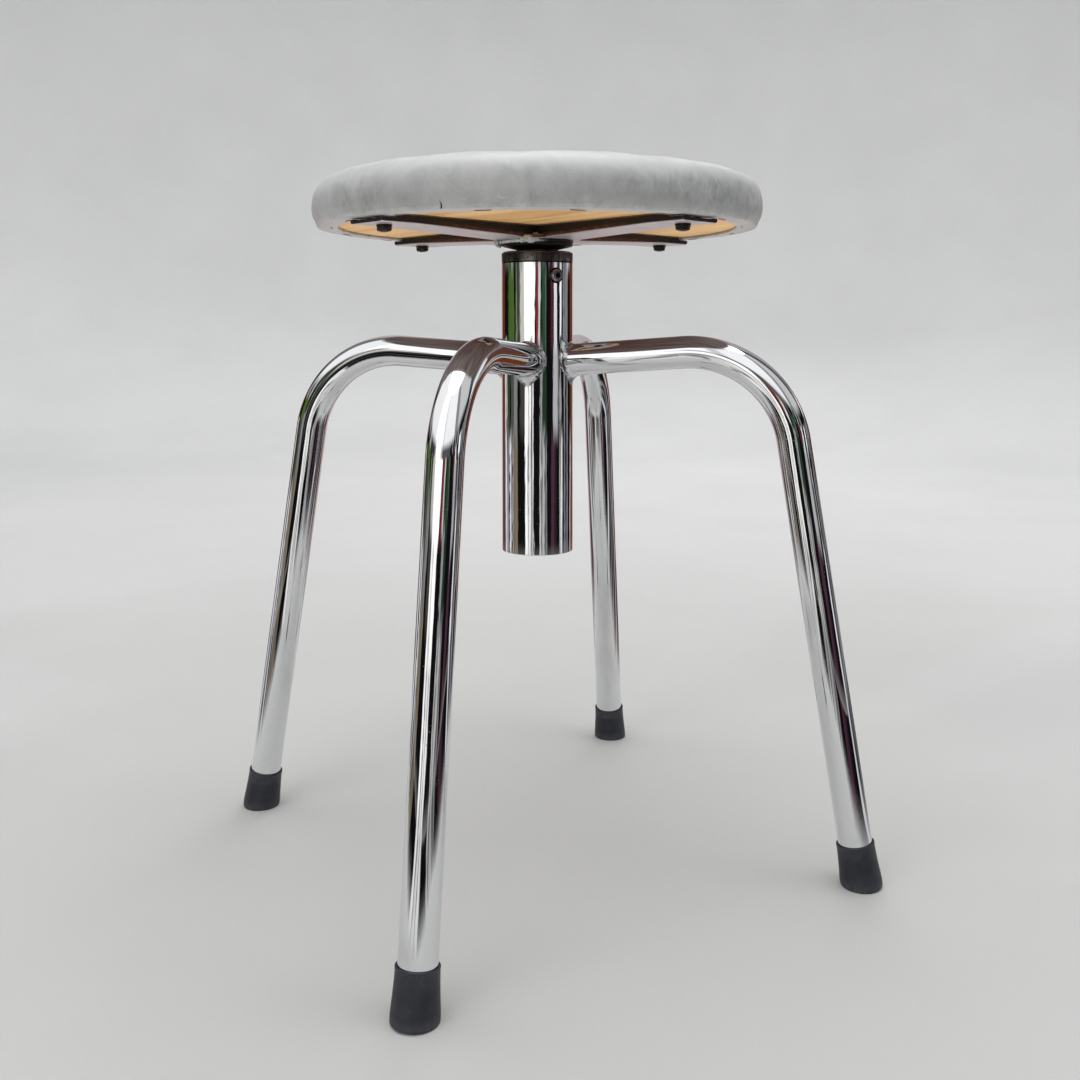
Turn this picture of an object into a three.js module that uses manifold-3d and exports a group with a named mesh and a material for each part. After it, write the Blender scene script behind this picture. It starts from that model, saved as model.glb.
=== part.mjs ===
// Adjustable swivel stool: a round upholstered seat on a threaded spindle that screws up and down
// in a column tube, which stands on four bent tube legs with rubber tips.
// Millimetres, +Z up, origin on the floor under the column's axis. The front leg points along -Y.
import * as THREE from "three";
import { mergeVertices } from "three/addons/utils/BufferGeometryUtils.js";
import Module from "manifold-3d";

// ---------------------------------------------------------------- driving dimensions
const GAP = 0.3; // clearance between pieces that touch

// column
const COLUMN_OD = 50.8; // 2 inch tube
const COLUMN_WALL = 1.5;
const COLUMN_Z0 = 215.5;
const COLUMN_Z1 = 420.9;

// legs
const LEG_OD = 22.6;
const LEG_WALL = 1.5;
const LEG_FOOT_R = 228.2; // radius at which a leg's centre line meets the floor
const LEG_SPLAY = 0.1604; // outward run per unit of drop
const ARM_Z = 350.7; // height of an arm's centre line at the column's axis
const ARM_RISE = 0.0705; // upward run per unit outward
const LEG_BEND_R = 71; // centre-line radius of the bend
const LEG_END_Z = 10.5; // where the tube ends inside its rubber tip

// rubber tips
const TIP_TOP_Z = 29.6; // length of the tip along the leg
const TIP_TOP_R = 12.3;
const TIP_BASE_R = 13.8;
const TIP_FLOOR = 7.2; // thickness of rubber under the steel washer
const WASHER_T = 1.6;

// screw lift
const PITCH = 6; // trapezoidal thread 30 x 6, right-handed, one start
const THREAD_R = 15;
const THREAD_ROOT_R = 11.5;
const THREAD_SEGS = 14;
const TRAVEL = 132; // 22 turns
const BUSH_Z0 = 384.3;
const FLANGE_Z0 = COLUMN_Z1 + GAP;
const FLANGE_Z1 = 428.7;
const SCREW_Z = 411.4;
const SCREW_AZ = 48; // degrees round from the front leg

// seat bracket
const HUB_Z0 = 430.3;
const HUB_Z1 = 434.5;
const HUB_R = 25.2;
const BOSS_R = 21.5; // raised middle of the hub plate, under the bracket
const WEB_Z = 436.8; // underside of the bracket at the hub
const ARM_AZ = -29.6; // degrees from the front leg to the first bracket arm
const ARM_TIP_R = 147;
const ARM_W = 35;
const SHEET_T = 2.5;
const FLANGE_T = 2.2;
const TAB_Z = 440.2; // underside of the flat tab that is bolted up
const TAB_R0 = 118;
const BOLT_R = 133;

// seat
const SEAT_R = 157.5;
const FOLD_R = 139.6; // where the turned-under cover ends
const BOARD_Z0 = 446.0;
const BOARD_T = 12;
const BOARD_R = 154;
const FOAM_Z0 = BOARD_Z0 + BOARD_T + GAP;
const FOLD_Z0 = 443.9;
const SIDE_TOP_Z = 479.6; // height of the shoulder of the seat
const CROWN_Z = 484.6; // height of the middle of the seat
const COVER_T = 1.4;
const STAPLES = 16;
const SEAT_SEGS = 40;

const wasm = await Module();
wasm.setup();

// ---------------------------------------------------------------- helpers
const rad = (deg) => (deg * Math.PI) / 180;

// One indexed closed mesh: shared vertices merged, collapsed triangles dropped.
function closed(geometry) {
  const g = geometry.index ? geometry.toNonIndexed() : geometry.clone();
  for (const k of Object.keys(g.attributes)) if (k !== "position") g.deleteAttribute(k);
  const m = mergeVertices(g, 1e-4);
  const a = m.index.array;
  const keep = [];
  for (let i = 0; i < a.length; i += 3)
    if (a[i] !== a[i + 1] && a[i + 1] !== a[i + 2] && a[i] !== a[i + 2])
      keep.push(a[i], a[i + 1], a[i + 2]);
  m.setIndex(keep);
  return m;
}

function solid(geometry) {
  const g = closed(geometry);
  const make = (tri) =>
    new wasm.Manifold(
      new wasm.Mesh({
        numProp: 3,
        vertProperties: new Float32Array(g.attributes.position.array),
        triVerts: new Uint32Array(tri),
      }),
    );
  let s = make(g.index.array);
  if (s.volume() < 0) {
    const t = Array.from(g.index.array);
    for (let i = 0; i < t.length; i += 3) [t[i + 1], t[i + 2]] = [t[i + 2], t[i + 1]];
    s = make(t);
  }
  return s;
}

function geometryOf(s) {
  const m = s.getMesh();
  const n = m.numProp;
  const v = new Float32Array((m.vertProperties.length / n) * 3);
  for (let i = 0, j = 0; i < m.vertProperties.length; i += n, j += 3) {
    v[j] = m.vertProperties[i];
    v[j + 1] = m.vertProperties[i + 1];
    v[j + 2] = m.vertProperties[i + 2];
  }
  const g = new THREE.BufferGeometry();
  g.setAttribute("position", new THREE.BufferAttribute(v, 3));
  g.setIndex(Array.from(m.triVerts));
  g.computeVertexNormals();
  return g;
}

// Profile of [radius, z] points turned about +Z.
function turned(points, segs) {
  const g = new THREE.LatheGeometry(
    points.map(([r, z]) => new THREE.Vector2(r, z)),
    segs,
  );
  return g.rotateX(Math.PI / 2);
}
const lathe = (points, segs) => solid(turned(points, segs));
const rod = (r, z0, z1, segs) =>
  solid(
    new THREE.CylinderGeometry(r, r, z1 - z0, segs)
      .rotateX(Math.PI / 2)
      .translate(0, 0, (z0 + z1) / 2),
  );
const box = (x0, x1, y0, y1, z0, z1) =>
  solid(
    new THREE.BoxGeometry(x1 - x0, y1 - y0, z1 - z0).translate(
      (x0 + x1) / 2,
      (y0 + y1) / 2,
      (z0 + z1) / 2,
    ),
  );
const moved = (s, matrix) => s.transform(matrix.elements);

// ---------------------------------------------------------------- materials
const finish = (color, roughness, metalness) =>
  new THREE.MeshStandardMaterial({ color, roughness, metalness });
const chrome = () => finish(0xd9dadb, 0.08, 1);
const darkSteel = () => finish(0x2a2624, 0.35, 0.9);
const brightSteel = () => finish(0x9a9a98, 0.35, 1);
const rubber = () => finish(0x23252b, 0.72, 0);
const nylon = () => finish(0xe4e1d6, 0.5, 0);
const plywood = () => finish(0xd09a5a, 0.7, 0);
const foam = () => finish(0xe3d9a8, 0.95, 0);
const cloth = () => finish(0x8f9090, 0.8, 0);
const blackSteel = () => finish(0x1b1a19, 0.45, 0.7);

const stool = new THREE.Group();
stool.name = "swivel_stool";

function add(name, shape, material, parent = stool) {
  const g = shape instanceof THREE.BufferGeometry ? shape : geometryOf(shape);
  const mesh = new THREE.Mesh(g, material);
  mesh.name = name;
  parent.add(mesh);
  return mesh;
}

// ---------------------------------------------------------------- column tube
const columnR = COLUMN_OD / 2;
const boreR = columnR - COLUMN_WALL;
// A radial drill at a height, from the axis outwards, at an angle from -Y towards +X.
function radialMatrix(azimuth, z) {
  return new THREE.Matrix4()
    .makeRotationZ(rad(azimuth) - Math.PI / 2)
    .premultiply(new THREE.Matrix4().makeTranslation(0, 0, z))
    .multiply(new THREE.Matrix4().makeRotationY(Math.PI / 2));
}
{
  let tube = lathe(
    [
      [boreR, COLUMN_Z0],
      [columnR, COLUMN_Z0],
      [columnR, COLUMN_Z1],
      [boreR, COLUMN_Z1],
      [boreR, COLUMN_Z0],
    ],
    48,
  );
  for (const az of [SCREW_AZ, SCREW_AZ + 180])
    tube = tube.subtract(moved(rod(3.1, 15, 40, 16), radialMatrix(az, SCREW_Z)));
  add("column_tube", tube, chrome());
}

// ---------------------------------------------------------------- legs
// A leg's centre line in its own (r, z) plane: arm, bend, leg.
const kneeR = (LEG_FOOT_R - LEG_SPLAY * ARM_Z) / (1 + LEG_SPLAY * ARM_RISE);
const kneeZ = ARM_Z + ARM_RISE * kneeR;
const armDir = new THREE.Vector2(1, ARM_RISE).normalize();
const legDir = new THREE.Vector2(LEG_SPLAY, -1).normalize();
const turn = Math.acos(armDir.dot(legDir));
const setback = LEG_BEND_R * Math.tan(turn / 2);
const bendStart = new THREE.Vector2(kneeR, kneeZ).addScaledVector(armDir, -setback);
const inward = new THREE.Vector2(armDir.y, -armDir.x);
const bendCentre = bendStart.clone().addScaledVector(inward, LEG_BEND_R);

class LegLine extends THREE.Curve {
  constructor() {
    super();
    const arcSteps = 8;
    const flat = (p, t) => ({
      p: new THREE.Vector3(p.x, 0, p.y),
      t: new THREE.Vector3(t.x, 0, t.y),
    });
    this.stations = [flat(new THREE.Vector2(14, ARM_Z + ARM_RISE * 14), armDir)];
    for (let i = 0; i <= arcSteps; i++) {
      const a = (turn * i) / arcSteps;
      const p = bendCentre
        .clone()
        .addScaledVector(inward, -LEG_BEND_R * Math.cos(a))
        .addScaledVector(armDir, LEG_BEND_R * Math.sin(a));
      const t = armDir
        .clone()
        .multiplyScalar(Math.cos(a))
        .addScaledVector(inward, Math.sin(a));
      this.stations.push(flat(p, t));
    }
    this.stations.push(
      flat(new THREE.Vector2(LEG_FOOT_R - LEG_SPLAY * LEG_END_Z, LEG_END_Z), legDir),
    );
    this.steps = this.stations.length - 1;
  }
  station(t) {
    return this.stations[Math.max(0, Math.min(this.steps, Math.round(t * this.steps)))];
  }
  getPoint(t) {
    return this.station(t).p.clone();
  }
  getPointAt(t) {
    return this.getPoint(t);
  }
  getTangent(t) {
    return this.station(t).t.clone();
  }
  getTangentAt(t) {
    return this.getTangent(t);
  }
}

function ringShape(outer, inner, n) {
  const circle = (r) =>
    Array.from({ length: n }, (_, i) => {
      const a = (2 * Math.PI * (i + 0.5)) / n;
      return new THREE.Vector2(r * Math.cos(a), r * Math.sin(a));
    });
  const shape = new THREE.Shape(circle(outer));
  shape.holes.push(new THREE.Path(circle(inner).reverse()));
  return shape;
}

const legLine = new LegLine();
const legRadius = LEG_OD / 2;
const legBlank = solid(
  new THREE.ExtrudeGeometry(ringShape(legRadius, legRadius - LEG_WALL, 14), {
    steps: legLine.steps,
    extrudePath: legLine,
    curveSegments: 1,
    bevelEnabled: false,
  }),
);
// The inner end is coped to sit against the column.
const leg = legBlank.subtract(rod(columnR + GAP, 250, 420, 60));

// Fillet weld bead round the saddle where an arm meets the column, lower lip longer.
function weldBead() {
  const n = 20;
  const sections = [];
  const cosA = armDir.x;
  const sinA = armDir.y;
  for (let i = 0; i < n; i++) {
    const a = (2 * Math.PI * i) / n;
    const e = new THREE.Vector3(-sinA * Math.cos(a), Math.sin(a), cosA * Math.cos(a));
    const low = Math.max(0, -Math.cos(a)); // 1 under the arm
    const along = 4.2 + 1.6 * low;
    const out = 3.6 + 1.6 * low;
    const wall = (rho, g) => {
      const y = e.y * rho;
      const x = Math.sqrt((columnR + g) ** 2 - y * y);
      return (x - e.x * rho) / cosA;
    };
    const at = (rho, t) =>
      new THREE.Vector3(cosA * t + e.x * rho, e.y * rho, ARM_Z + sinA * t + e.z * rho);
    const r0 = legRadius + GAP;
    sections.push([
      at(r0, wall(r0, GAP)),
      at(r0, wall(r0, GAP) + along),
      at(r0 + out * 0.5, wall(r0 + out * 0.5, GAP) + along * 0.52),
      at(r0 + out, wall(r0 + out, GAP)),
    ]);
  }
  const v = [];
  const m = 4;
  for (let i = 0; i < n; i++) {
    const s = sections[i];
    const t = sections[(i + 1) % n];
    for (let j = 0; j < m; j++) {
      const k = (j + 1) % m;
      for (const q of [s[j], t[j], t[k], s[j], t[k], s[k]]) v.push(q.x, q.y, q.z);
    }
  }
  const g = new THREE.BufferGeometry();
  g.setAttribute("position", new THREE.Float32BufferAttribute(v, 3));
  return solid(g);
}
const bead = weldBead();

// Rubber tip on the leg's own axis, its base trimmed flat on the floor.
const splayAngle = Math.atan(LEG_SPLAY);
// Takes a piece modelled on +Z, with 0 where the leg's line meets the floor, onto the leg.
const onLeg = new THREE.Matrix4()
  .makeTranslation(LEG_FOOT_R, 0, 0)
  .multiply(new THREE.Matrix4().makeRotationY(-splayAngle));
const tipBore = legRadius + GAP;
const tipBlank = lathe(
  [
    [0, -1.6],
    [10.6, -1.6],
    [13.0, -0.6],
    [TIP_BASE_R, 1.8],
    [TIP_BASE_R - 0.25, 7],
    [12.75, 17],
    [TIP_TOP_R, 26],
    [TIP_TOP_R + 0.15, TIP_TOP_Z],
    [tipBore, TIP_TOP_Z],
    [tipBore, TIP_FLOOR],
    [0, TIP_FLOOR],
  ],
  18,
);
const tip = moved(tipBlank, onLeg).subtract(box(180, 280, -40, 40, -30, 0));
const tipWasher = moved(
  lathe(
    [
      [3.2, TIP_FLOOR + GAP],
      [10.8, TIP_FLOOR + GAP],
      [10.8, TIP_FLOOR + GAP + WASHER_T],
      [3.2, TIP_FLOOR + GAP + WASHER_T],
      [3.2, TIP_FLOOR + GAP],
    ],
    16,
  ),
  onLeg,
);

["front", "right", "back", "left"].forEach((side, i) => {
  const corner = new THREE.Group();
  corner.rotation.z = -Math.PI / 2 + (i * Math.PI) / 2;
  stool.add(corner);
  add(`leg_${side}`, leg, chrome(), corner);
  add(`arm_weld_${side}`, bead, chrome(), corner);
  add(`foot_tip_${side}`, tip, rubber(), corner);
  add(`foot_washer_${side}`, tipWasher, brightSteel(), corner);
});

// ---------------------------------------------------------------- screw thread
// A threaded bar along Z: profile is [z, radius] over one pitch, cut square at both ends.
function threadedBar(profile, z0, z1, segs) {
  const turns = Math.ceil((z1 - z0) / PITCH) + 3;
  const start = Math.floor(z0 / PITCH) * PITCH - PITCH;
  const m = profile.length;
  const count = turns * m + 1;
  const column = (i) =>
    Array.from({ length: count }, (_, k) => {
      const [dz, r] = profile[k % m];
      const a = (2 * Math.PI * i) / segs;
      return new THREE.Vector3(
        r * Math.cos(a),
        r * Math.sin(a),
        start + PITCH * (Math.floor(k / m) + i / segs) + dz,
      );
    });
  const v = [];
  const tri = (a, b, c) => v.push(a.x, a.y, a.z, b.x, b.y, b.z, c.x, c.y, c.z);
  const columns = Array.from({ length: segs }, (_, i) => column(i));
  // the turn closes one pitch higher
  const first = columns[0];
  const at = (i, k) => (i < segs ? columns[i][k] : first[k + m]);
  const last = count - m - 1;
  for (let i = 0; i < segs; i++)
    for (let k = 0; k < last; k++) {
      tri(at(i, k), at(i + 1, k), at(i + 1, k + 1));
      tri(at(i, k), at(i + 1, k + 1), at(i, k + 1));
    }
  const low = new THREE.Vector3(0, 0, start - PITCH);
  const high = new THREE.Vector3(0, 0, start + PITCH * (turns + 3));
  const rim = (k) => {
    const loop = Array.from({ length: segs }, (_, i) => columns[i][k]);
    for (let j = m; j > 0; j--) loop.push(first[k + j]);
    return loop;
  };
  const bottom = rim(0);
  const top = rim(last);
  for (let i = 0; i < bottom.length; i++) {
    tri(low, bottom[(i + 1) % bottom.length], bottom[i]);
    tri(high, top[i], top[(i + 1) % top.length]);
  }
  const g = new THREE.BufferGeometry();
  g.setAttribute("position", new THREE.Float32BufferAttribute(v, 3));
  return solid(g).intersect(rod(THREAD_R + 3, z0, z1, 24));
}

const depth = THREAD_R - THREAD_ROOT_R;
const crest = 0.366 * PITCH;
const flank = depth * Math.tan(rad(15));
const screwProfile = [
  [0, THREAD_R],
  [crest, THREAD_R],
  [crest + flank, THREAD_ROOT_R],
  [PITCH - flank, THREAD_ROOT_R],
];
const SLACK = 0.35;
const tapProfile = [
  [-SLACK, THREAD_R + 0.6],
  [crest + SLACK, THREAD_R + 0.6],
  [crest + flank + SLACK, THREAD_ROOT_R + 0.6],
  [PITCH - flank - SLACK, THREAD_ROOT_R + 0.6],
];

// Spindle: thread, a plain journal at its foot for the guide ring, and a spigot at its head
// that passes through the hub plate and the bracket and is riveted over.
const THREAD_Z1 = HUB_Z0 - GAP;
const THREAD_Z0 = BUSH_Z0 - TRAVEL - 0.9; // the shoulder meets the guide ring
const RING_Z1 = THREAD_Z0 - GAP;
const RING_Z0 = RING_Z1 - 14;
const JOURNAL_Z0 = RING_Z0 - GAP;
const webTop = WEB_Z + SHEET_T;
{
  const head = lathe(
    [
      [0, THREAD_Z1 - 1],
      [9, THREAD_Z1 - 1],
      [9, webTop + GAP],
      [12.5, webTop + GAP],
      [11, webTop + 2.6],
      [0, webTop + 3.0],
    ],
    20,
  );
  const journal = lathe(
    [
      [0, JOURNAL_Z0],
      [8, JOURNAL_Z0],
      [8, THREAD_Z0 + 1],
      [0, THREAD_Z0 + 1],
    ],
    20,
  );
  const spindle = threadedBar(screwProfile, THREAD_Z0, THREAD_Z1, THREAD_SEGS)
    .add(head)
    .add(journal)
    .subtract(rod(4.2, JOURNAL_Z0 - 5, JOURNAL_Z0 + 22, 14));
  add("lift_spindle", spindle, brightSteel());
}

// Nylon ring that steadies the spindle's foot in the tube.
add(
  "guide_ring",
  lathe(
    [
      [8.3, RING_Z0],
      [boreR - 0.9, RING_Z0],
      [boreR - 0.35, RING_Z0 + 1.2],
      [boreR - 0.35, RING_Z1 - 1.2],
      [boreR - 0.9, RING_Z1],
      [8.3, RING_Z1],
      [8.3, RING_Z0],
    ],
    28,
  ),
  nylon(),
);
const END_WASHER_Z1 = JOURNAL_Z0 - GAP;
add(
  "spindle_end_washer",
  lathe(
    [
      [4.3, END_WASHER_Z1 - 2.2],
      [15, END_WASHER_Z1 - 2.2],
      [15, END_WASHER_Z1],
      [4.3, END_WASHER_Z1],
      [4.3, END_WASHER_Z1 - 2.2],
    ],
    24,
  ),
  brightSteel(),
);
{
  const top = END_WASHER_Z1 - 2.2 - GAP;
  const hex = solid(
    new THREE.CylinderGeometry(7.5, 7.5, 5.3, 6)
      .rotateX(Math.PI / 2)
      .translate(0, 0, top - 2.65),
  );
  add("spindle_end_screw", hex.add(rod(3.9, top - 2, JOURNAL_Z0 + 20, 14)), blackSteel());
}

// Threaded bush: a flange that sits on the tube's end and a long nut inside it.
{
  let bush = lathe(
    [
      [0, BUSH_Z0],
      [boreR - 0.3, BUSH_Z0],
      [boreR - 0.3, FLANGE_Z0],
      [columnR - 0.3, FLANGE_Z0],
      [columnR, FLANGE_Z0 + 0.7],
      [columnR, FLANGE_Z1 - 1.4],
      [columnR - 1.4, FLANGE_Z1],
      [0, FLANGE_Z1],
    ],
    40,
  );
  bush = bush.subtract(threadedBar(tapProfile, BUSH_Z0 - 3, FLANGE_Z1 + 3, THREAD_SEGS));
  for (const az of [SCREW_AZ, SCREW_AZ + 180])
    bush = bush.subtract(moved(rod(2.9, 17.4, 30, 12), radialMatrix(az, SCREW_Z)));
  add("thread_bush", bush, darkSteel());
}

// Two button-head socket screws hold the bush in the tube.
[
  ["a", SCREW_AZ],
  ["b", SCREW_AZ + 180],
].forEach(([id, az]) => {
  const screw = lathe(
    [
      [0, 17.8],
      [2.5, 17.8],
      [2.5, columnR + GAP],
      [4.4, columnR + GAP],
      [4.4, columnR + 1.1],
      [3.4, columnR + 2.5],
      [2.4, columnR + 2.9],
      [0, columnR + 2.9],
    ],
    20,
  ).subtract(rod(2.2, columnR + 1.2, columnR + 6, 6));
  add(`bush_screw_${id}`, moved(screw, radialMatrix(az, SCREW_Z)), blackSteel());
});

// ---------------------------------------------------------------- seat bracket
add(
  "hub_plate",
  lathe(
    [
      [9.4, HUB_Z0],
      [15, HUB_Z0],
      [HUB_R, HUB_Z0 + 2.5],
      [HUB_R, HUB_Z1],
      [BOSS_R, HUB_Z1],
      [BOSS_R, WEB_Z - GAP],
      [9.4, WEB_Z - GAP],
      [9.4, HUB_Z0],
    ],
    32,
  ),
  blackSteel(),
);
// Fillet weld between the plate's rim and the bracket's underside.
add(
  "hub_weld",
  lathe(
    [
      [BOSS_R + GAP, HUB_Z1 + GAP],
      [HUB_R, HUB_Z1 + GAP],
      [HUB_R + 2, WEB_Z - GAP],
      [BOSS_R + GAP, WEB_Z - GAP],
      [BOSS_R + GAP, HUB_Z1 + GAP],
    ],
    32,
  ),
  blackSteel(),
);

// One arm of the bracket along +X: a shallow channel that rises from the hub to a flat tab.
const webZ = WEB_Z;
function extrudedAcross(points, y0, y1) {
  const g = new THREE.ExtrudeGeometry(
    new THREE.Shape(points.map(([x, z]) => new THREE.Vector2(x, z))),
    { depth: y1 - y0, bevelEnabled: false, steps: 1 },
  );
  // the shape's plane goes from XY to XZ, and its depth along Y
  return solid(g.rotateX(Math.PI / 2).translate(0, y1, 0));
}
const FLANGE_TOP = BOARD_Z0 - 0.4;
const TAB_TOP = FOLD_Z0 - GAP;
const half = ARM_W / 2;
let bracketArm = extrudedAcross(
  [
    [0, webZ],
    [26, webZ],
    [TAB_R0, TAB_Z],
    [ARM_TIP_R, TAB_Z],
    [ARM_TIP_R, TAB_Z + SHEET_T],
    [TAB_R0, TAB_Z + SHEET_T],
    [26, webZ + SHEET_T],
    [0, webZ + SHEET_T],
  ],
  -half,
  half,
);
for (const s of [-1, 1]) {
  const y = s > 0 ? [half - FLANGE_T, half] : [-half, -half + FLANGE_T];
  bracketArm = bracketArm.add(
    extrudedAcross(
      [
        [half - FLANGE_T, webZ],
        [26, webZ],
        [TAB_R0, TAB_Z],
        [ARM_TIP_R, TAB_Z],
        [ARM_TIP_R, TAB_TOP],
        [137.5, TAB_TOP],
        [134, FLANGE_TOP],
        [half - FLANGE_T, FLANGE_TOP],
      ],
      ...y,
    ),
  );
}
bracketArm = bracketArm.subtract(
  moved(rod(3.4, 430, 450, 12), new THREE.Matrix4().makeTranslation(BOLT_R, 0, 0)),
);
const armTurns = [0, 1, 2, 3].map((i) => rad(ARM_AZ) - Math.PI / 2 + (i * Math.PI) / 2);
{
  let spider = null;
  for (const a of armTurns) {
    const arm = moved(bracketArm, new THREE.Matrix4().makeRotationZ(a));
    spider = spider ? spider.add(arm) : arm;
  }
  spider = spider
    .add(rod(31, webZ, webZ + SHEET_T, 40))
    .subtract(rod(9.4, webZ - 2, webZ + 6, 20));
  add("seat_bracket", spider, chrome());
}

// ---------------------------------------------------------------- seat fasteners
const boltWasher = lathe(
  [
    [3.4, TAB_Z - GAP - 1],
    [5.1, TAB_Z - GAP - 1],
    [5.1, TAB_Z - GAP],
    [3.4, TAB_Z - GAP],
    [3.4, TAB_Z - GAP - 1],
  ],
  14,
);
const headTop = TAB_Z - 2 * GAP - 1;
const bolt = solid(
  new THREE.CylinderGeometry(4.9, 4.9, 2.3, 6)
    .rotateX(Math.PI / 2)
    .translate(0, 0, headTop - 1.15),
)
  .add(
    lathe(
      [
        [0, headTop - 3.2],
        [3.2, headTop - 3.0],
        [4.15, headTop - 2.2],
        [4.15, headTop - 1],
        [0, headTop - 1],
      ],
      12,
    ),
  )
  .add(rod(3.0, headTop - 1.5, BOARD_Z0 + 10.4, 12));
const boardTop = BOARD_Z0 + BOARD_T;
const teeNut = lathe(
  [
    [3.4, BOARD_Z0 + 2.4],
    [4.3, BOARD_Z0 + 2.4],
    [4.3, boardTop - 1.3],
    [9.4, boardTop - 1.3],
    [9.4, boardTop - 0.1],
    [3.4, boardTop - 0.1],
    [3.4, BOARD_Z0 + 2.4],
  ],
  12,
);
armTurns.forEach((a, i) => {
  const place = new THREE.Group();
  place.rotation.z = a;
  const spot = new THREE.Group();
  spot.position.x = BOLT_R;
  place.add(spot);
  stool.add(place);
  add(`seat_bolt_${i + 1}`, bolt, blackSteel(), spot);
  add(`bolt_washer_${i + 1}`, boltWasher, brightSteel(), spot);
  add(`tee_nut_${i + 1}`, teeNut, brightSteel(), spot);
});

// ---------------------------------------------------------------- seat
{
  let board = lathe(
    [
      [0, BOARD_Z0],
      [BOARD_R - 2.4, BOARD_Z0],
      [BOARD_R, BOARD_Z0 + 2.4],
      [BOARD_R, boardTop - 0.8],
      [BOARD_R - 0.8, boardTop],
      [0, boardTop],
    ],
    SEAT_SEGS,
  );
  for (const a of armTurns) {
    const m = new THREE.Matrix4()
      .makeRotationZ(a)
      .multiply(new THREE.Matrix4().makeTranslation(BOLT_R, 0, 0));
    board = board
      .subtract(moved(rod(4.7, BOARD_Z0 - 2, boardTop + 2, 12), m))
      .subtract(moved(rod(9.9, boardTop - 1.6, boardTop + 2, 16), m));
  }
  add("seat_board", board, plywood());
}

// The pad's outline, inset from the outside of the cover, from its middle to its side.
const inset = (d) => [
  [0, CROWN_Z - d],
  [60, CROWN_Z - d],
  [105, CROWN_Z - 1.6 - d],
  [138, SIDE_TOP_Z - 0.2 - d],
  [149, SIDE_TOP_Z - 2.8 - d],
  [155 - 0.7 * d, SIDE_TOP_Z - 8 - 0.6 * d],
  [SEAT_R - d, SIDE_TOP_Z - 17],
];
add(
  "foam_pad",
  lathe(
    [
      [0, FOAM_Z0],
      [SEAT_R - COVER_T - 0.6, FOAM_Z0],
      ...inset(COVER_T + 0.45).reverse(),
    ],
    SEAT_SEGS,
  ),
  foam(),
);
// The cover: over the pad, down the side and turned under the board.
const under = [
  [SEAT_R - 0.3, FOLD_Z0 + 7],
  [SEAT_R - 2.6, FOLD_Z0 + 2],
  [SEAT_R - 6.5, FOLD_Z0],
  [FOLD_R, FOLD_Z0],
];
add(
  "seat_cover",
  lathe(
    [
      ...inset(0),
      ...under,
      [FOLD_R, FOLD_Z0 + COVER_T],
      [SEAT_R - 6.2, FOLD_Z0 + COVER_T],
      [SEAT_R - 2.6, FOLD_Z0 + 3.6],
      [SEAT_R - 1.7, FOLD_Z0 + 7.5],
      ...inset(COVER_T).reverse(),
    ],
    SEAT_SEGS,
  ),
  cloth(),
);

// Crowns of the staples that hold the turned-under edge of the cover.
{
  const w = 5.5;
  const wire = 0.55;
  const crownZ = FOLD_Z0 - 0.2 - wire;
  const clip = Math.PI / STAPLES;
  const staple = box(-w, w, -wire, wire, crownZ, crownZ + wire);
  for (let i = 0; i < STAPLES; i++) {
    const a = rad(ARM_AZ) + clip + (i * 2 * Math.PI) / STAPLES;
    const place = new THREE.Group();
    place.rotation.z = a;
    const spot = new THREE.Group();
    spot.position.y = -(FOLD_R + 4.5);
    place.add(spot);
    stool.add(place);
    add(`staple_${String(i + 1).padStart(2, "0")}`, staple, brightSteel(), spot);
  }
}

export default stool;
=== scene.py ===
"""The looks of the adjustable swivel stool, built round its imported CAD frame.

Smooth, finished pieces stand for the faceted CAD nodes, at the same place and size: chromed legs and
column, chromed welds, rubber tips, black collar and hub, a real 30 x 6 trapezoidal thread, the pressed
seat bracket, bolts, plywood board, and a seat cover made by cloth simulation.
Lengths in the tables are in millimetres, and S turns them into metres.
"""
import math

import bmesh
import bpy
import numpy as np
from mathutils import Matrix, Vector, noise


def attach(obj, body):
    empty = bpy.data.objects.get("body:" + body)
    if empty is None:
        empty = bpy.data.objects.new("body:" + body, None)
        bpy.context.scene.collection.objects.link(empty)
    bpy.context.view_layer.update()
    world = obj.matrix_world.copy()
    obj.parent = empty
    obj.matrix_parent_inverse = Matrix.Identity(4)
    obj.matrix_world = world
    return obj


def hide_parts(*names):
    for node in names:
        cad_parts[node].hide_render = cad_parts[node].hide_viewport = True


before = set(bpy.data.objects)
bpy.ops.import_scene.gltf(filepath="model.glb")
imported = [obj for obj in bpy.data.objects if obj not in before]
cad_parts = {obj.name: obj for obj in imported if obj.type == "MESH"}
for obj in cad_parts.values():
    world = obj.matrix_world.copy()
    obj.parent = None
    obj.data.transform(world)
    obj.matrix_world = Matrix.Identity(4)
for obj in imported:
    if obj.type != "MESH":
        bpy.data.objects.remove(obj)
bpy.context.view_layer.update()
SC = bpy.context.scene
S = 0.001
PI = math.pi
rad = math.radians

# ------------------------------------------------------------------ sizes, as in the CAD
COLUMN_R, COLUMN_WALL, COLUMN_Z0, COLUMN_Z1 = 25.4, 1.5, 215.5, 420.9
LEG_R, LEG_WALL = 11.3, 1.5
LEG_FOOT_R, LEG_SPLAY, ARM_Z, ARM_RISE, LEG_BEND_R, LEG_END_Z = 228.2, 0.1604, 350.7, 0.0705, 71.0, 10.5
PITCH, THREAD_R, THREAD_ROOT = 6.0, 15.0, 11.5
THREAD_Z0, THREAD_Z1 = 251.4, 430.0
BUSH_Z0, FLANGE_Z0, FLANGE_Z1 = 384.3, 421.2, 428.7
SCREW_Z, SCREW_AZ = 411.4, 48.0
HUB_Z0, HUB_Z1, HUB_R, BOSS_R = 430.3, 434.5, 25.2, 21.5
ARM_AZ, ARM_TIP, ARM_HALF = -29.6, 147.0, 17.5
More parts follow.
